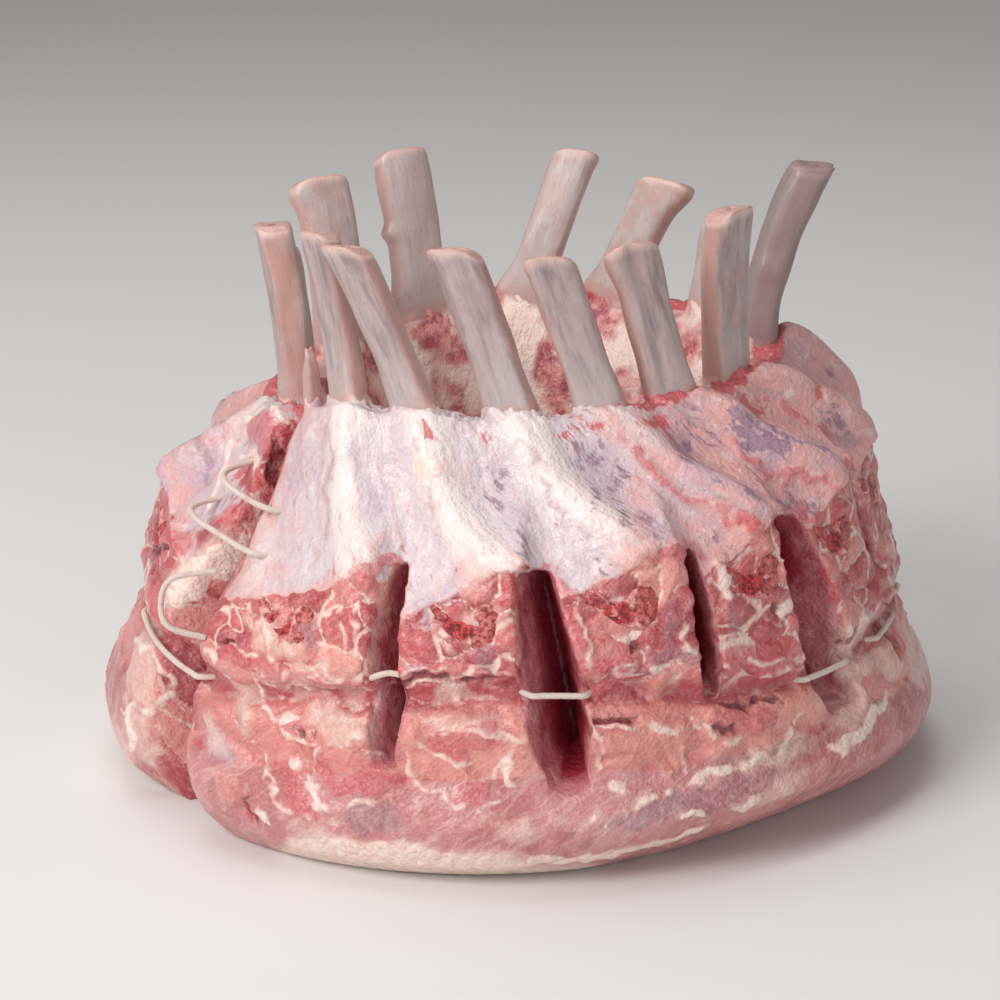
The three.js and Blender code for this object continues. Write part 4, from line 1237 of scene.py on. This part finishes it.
vertebra = {
    "sides": 96, "rings": 5, "capRings": 16, "depth": 7,
    "proud": 0.45, "rim": 0.3, "pores": 0.4,      # how far relief stands out or in
    "drop": 1.5,                                  # how far its edge dips into the meat
    # spongy lobes and the bloody heart: middle, half lengths and turn
    "lobes": [((7.0, -0.9), (3.7, 5.8), -8), ((-6.8, 1.8), (5.0, 2.3), -28)],
    "heart": ((-0.2, -2.0), (4.0, 3.0), -15),
    # how wide the left and right sides are, where not whole
    "squeeze": {"vertebra_front_5": (0.72, 1), "vertebra_front_2": (0.78, 1),
                "vertebra_front_3": (0.85, 1), "vertebra_back_7": (1, 0.5)},
}


def outlineReach(angle, mirrored):
    # how far the rounded outline lies from its heart, in each direction
    points = np.array(vertebraOutline) - np.array(vertebraHeart)
    curve = []
    for index in range(len(points)):
        four = [points[(index + step) % len(points)] for step in (-1, 0, 1, 2)]
        curve += [curveAt(*four, t, 0.8) for t in np.linspace(0, 1, 24, endpoint=False)]
    curve = np.array(curve)
    if mirrored:
        angle = np.pi - angle
    turns = np.arctan2(curve[:, 1], curve[:, 0])
    order = np.argsort(turns)
    return np.interp(angle, turns[order], np.hypot(*curve[order].T), period=2 * np.pi)


def ovalShare(x, y, middle, halves, turn):
    # 0 in the middle of an oval and 1 on its border
    cosine, sine = math.cos(math.radians(turn)), math.sin(math.radians(turn))
    x, y = x - middle[0], y - middle[1]
    return np.hypot((x * cosine + y * sine) / halves[0], (y * cosine - x * sine) / halves[1])


def buildVertebra(node, material):
    mirrored = "back" in node
    seat = vertebraSeat(node)
    shape = unitTube(vertebra["sides"], vertebra["rings"], vertebra["capRings"], 0.06)
    angle, share, t = tubePlaces(shape)
    seed = seedOf(node, 37)
    reach = outlineReach(angle, mirrored) * share
    heart = (-vertebraHeart[0] if mirrored else vertebraHeart[0], vertebraHeart[1])
    x, y = heart[0] + reach * np.cos(angle), heart[1] + reach * np.sin(angle)
    left, right = vertebra["squeeze"].get(node, (1, 1))
    x = np.where(x < 0, x * left, x * right)
    flat = np.stack([x + seed * 7, y, 0 * x], 1)
    ragged = 0.6 * ramp(share, 0.5, 1)
    x, y = x + ragged * noiseAt(flat, 3, seed), y + ragged * noiseAt(flat, 3, seed + 5)
    side = x * (-1 if mirrored else 1)
    bent = side + 2.2 * noiseAt(flat, 7, seed + 7), y + 2.2 * noiseAt(flat, 7, seed + 8)
    lobe = np.min([ovalShare(*bent, *oval) for oval in vertebra["lobes"]], axis=0)
    notch = np.exp(-ovalShare(side, y, *vertebra["heart"]) ** 2)
    face = vertebra["proud"] + vertebra["rim"] * np.exp(-((lobe - 1) / 0.15) ** 2)
    face -= vertebra["drop"] * ramp(share, 0.7, 1.0)
    pores = np.clip(noiseAt(flat, 0.9, seed + 2) * 1.6, 0, 1) * ramp(-share, -0.92, -0.8)
    face -= vertebra["pores"] * pores
    face -= 0.3 * notch + 0.25 * noiseAt(flat, 4, seed + 3)
    z = np.where(t > 0.999, face, -vertebra["depth"] + t * (vertebra["depth"] + vertebra["proud"]))
    local = np.stack([x, y, z], 1)
    turn = np.array(seat.to_3x3())
    places = local @ turn.T + np.array(seat.translation) / mm
    placeTube(shape, keepInside(places))
    finishPiece(newPiece(node, shape), node, {"lobe": lobe, "notch": notch}, material)


spongyLook = {
    "rim": "#ecc4b8", "web": "#d0706c", "pore": "#7a1420", "red": "#c8121c", "lean": "#cf686c",
    "pale": "#dd918c", "fatty": "#f0c8bc", "brown": "#ad3e42",
}


def makeSpongy():
    look = {name: srgb(code) for name, code in spongyLook.items()}
    material, tree, surface = newMaterial("sawn bone", 0.42, 0.1, (2.0, 0.8, 0.5), 0.45)
    spot = millimetres(tree)
    mask = masksOf(tree, ["lobe", "notch"])
    mottle = addNoise(tree, spot, 3.5, 4, 0.6)
    fine = addNoise(tree, spot, 1.3, 3, 0.65)
    flesh = layer(tree, look["lean"], mottle, look["pale"], 0.38, 0.62)
    flesh = layer(tree, flesh, fine, look["fatty"], 0.5, 0.7, 0, 0.5)
    sponge = layer(tree, look["brown"], mottle, look["web"], 0.4, 0.62)
    pores = addRange(tree, fine, 0.48, 0.36)
    sponge = addMix(tree, times(tree, pores, 0.7), sponge, look["pore"])
    sponge = layer(tree, sponge, fine, look["rim"], 0.58, 0.72, 0, 0.5)
    wander = blend(tree, mottle, 0.7, fine, 0.4)
    edge = plus(tree, mask["lobe"], minus(tree, wander, 0.55))
    color = layer(tree, flesh, edge, sponge, 1.1, 0.85)
    ring = addRange(tree, apart(tree, edge, 1.1), 0.16, 0.02)
    ring = times(tree, ring, addRange(tree, mottle, 0.42, 0.58, 0.1, 0.75))
    color = addMix(tree, ring, color, look["rim"])
    blood = plus(tree, mask["notch"], minus(tree, wander, 0.55))
    clot = layer(tree, look["pore"], fine, look["red"], 0.38, 0.6)
    color = layer(tree, color, blood, clot, 0.22, 0.5, 0, 0.92)
    tree.links.new(color, surface.inputs["Base Color"])
    addBump(tree, surface, minus(tree, fine, times(tree, pores, 0.4)), 0.6)
    return material


twine = {
    "radius": 0.86, "lobe": 0.2, "pitch": 6.5, "step": 0.8, "sides": 24,
    "stand": 1.3, "hidden": 9,     # out of the crease, and how far it sinks in the meat
    "lift": 8,                       # how far it rides up at the first saw cut
    # azimuths between which the hoop shows: over the saw cuts, and at the open joins
    "shown": [(193, 219), (250, 253.5), (271.5, 278.5), (315, 325.5), (336, 346),
              (356, 364), (14, 30), (42, 48), (63, 69), (89, 95), (115, 121), (142, 148), (176, 182)],
}
stitches = {       # azimuth, reach and height of the points each strand goes through
    "left_upper": [(207, 84, 98), (209.5, 94, 97.5), (214, 98.5, 97), (219, 99, 95.5),
                   (224, 94.5, 92), (226, 84, 90)],
    "left_lower": [(203.5, 88, 87), (205.5, 101.5, 86.5), (210, 104.5, 85.5), (216, 103.5, 84),
                   (225, 103, 82), (227, 92, 79)],
    "left_edge": [(219, 107, 75), (216.5, 118, 74), (215.5, 121, 68), (217, 121, 61),
                  (219.5, 112, 57)],
    "back_upper": [(14, 88, 100), (14.5, 99, 104), (20, 101, 103), (27.5, 99, 102.5), (29, 88, 99)],
    "back_lower": [(14, 96, 64), (14.5, 109, 66), (21, 111.5, 66), (27.5, 111, 65), (28.5, 97, 63)],
}


def curveThrough(points, closed):
    # evenly spaced places along a smooth curve
    points = np.array(points)
    count = len(points)
    t = np.linspace(0, 1, 30, endpoint=False)[:, None]
    dense = []
    for index in range(count if closed else count - 1):
        spots = [index + step for step in (-1, 0, 1, 2)]
        spots = [spot % count if closed else min(max(spot, 0), count - 1) for spot in spots]
        dense.append(curveAt(*points[spots], t))
    dense = np.concatenate(dense + [points[:1] if closed else points[-1:]])
    run = np.concatenate([[0], np.cumsum(np.linalg.norm(np.diff(dense, axis=0), axis=1))])
    steps = max(int(run[-1] / twine["step"]), 8)
    even = np.linspace(0, run[-1], steps + 1)
    return np.stack([np.interp(even, run, dense[:, i]) for i in range(3)], 1), run[-1]


def buildTwine(name, points, closed, material):
    path, length = curveThrough(points, closed)
    steps = len(path) - 1
    tangents = np.gradient(path, axis=0)
    if closed:
        tangents[0] = tangents[-1] = path[1] - path[-2]
    tangents = unit(tangents)
    normal = unit(np.cross(tangents[0], (0, 0, 1)))
    normals = []
    for tangent in tangents:
        if closed:
            normal = np.cross(tangent, (0, 0, 1))
        normal = unit(normal - tangent * (normal @ tangent))
        normals.append(normal)
    normals = np.array(normals)
    others = np.cross(tangents, normals)
    shape = unitTube(twine["sides"], steps, 0 if closed else 2, 0.4)
    angle, share, t = tubePlaces(shape)
    ring = np.clip(np.round(t * steps).astype(int), 0, steps)
    turns = round(length / twine["pitch"])
    strand = 1.5 * (angle - 2 * np.pi * turns * t)
    lobes = np.abs(np.cos(strand))
    radius = twine["radius"] * (1 - twine["lobe"] + twine["lobe"] * lobes ** 0.6) * share
    places = path[ring] + normals[ring] * (radius * np.cos(angle))[:, None]
    places += others[ring] * (radius * np.sin(angle))[:, None]
    placeTube(shape, keepInside(places))
    piece = newPiece(name, shape)
    fields = {"groove": lobes, "flow": np.stack(
        [np.cos(strand * 2) * 2, np.sin(strand * 2) * 2, t * length], 1)}
    finishPiece(piece, name, fields, material)
    if closed:
        seam = bmesh.new()
        seam.from_mesh(piece.data)
        bmesh.ops.remove_doubles(seam, verts=seam.verts, dist=0.001 * mm)
        seam.to_mesh(piece.data)
        seam.free()


def hoopPoints():
    points = []
    for azimuth in np.arange(0, 360, 1.5):
        away = min(max(low - azimuth, azimuth - high, 0) for low, high in twine["shown"])
        sink = twine["hidden"] * float(ramp(away, 0, 3.5))
        reach = float(around(creaseReach, azimuth)) + twine["stand"] - sink
        lift = twine["lift"] * math.exp(-((azimuth - 252) / 6) ** 2)
        points.append(polar(azimuth, reach, float(around(creaseHeight, azimuth)) + lift))
    return points


def makeTwine():
    material, tree, surface = newMaterial("twine", 0.85, 0.05, (1.0, 0.9, 0.8))
    flow = addAttribute(tree, "flow").outputs["Vector"]
    groove = addAttribute(tree, "groove").outputs["Fac"]
    fibre = addNoise(tree, flow, 0.35, 4, 0.65, (1, 1, 5))
    stain = addNoise(tree, millimetres(tree), 9, 3)
    color = layer(tree, srgb("#d8c4b8"), fibre, srgb("#f0e2d8"), 0.35, 0.65)
    # painted shade in the grooves between the strands
    color = layer(tree, color, groove, srgb("#ab8878"), 0.35, 0.0, 0, 0.7)
    color = layer(tree, color, stain, srgb("#d79a92"), 0.52, 0.7, 0, 0.5)
    tree.links.new(color, surface.inputs["Base Color"])
    addBump(tree, surface, fibre, 0.15)
    return material


meatFinish = makeMeat()
for name in racks:
    buildRack(name, meatFinish)
print("meat made")
boneFinish = makeBone()
for name in ribs:
    buildRib(name, boneFinish)
print("ribs made")
spongyFinish = makeSpongy()
for node in nodesOf("vertebra_"):
    buildVertebra(node, spongyFinish)
print("vertebrae made")
twineFinish = makeTwine()
buildTwine("twine_hoop", hoopPoints(), True, twineFinish)
for name, points in stitches.items():
    buildTwine("stitch_" + name, [polar(*p) for p in points], False, twineFinish)
print("twine made")
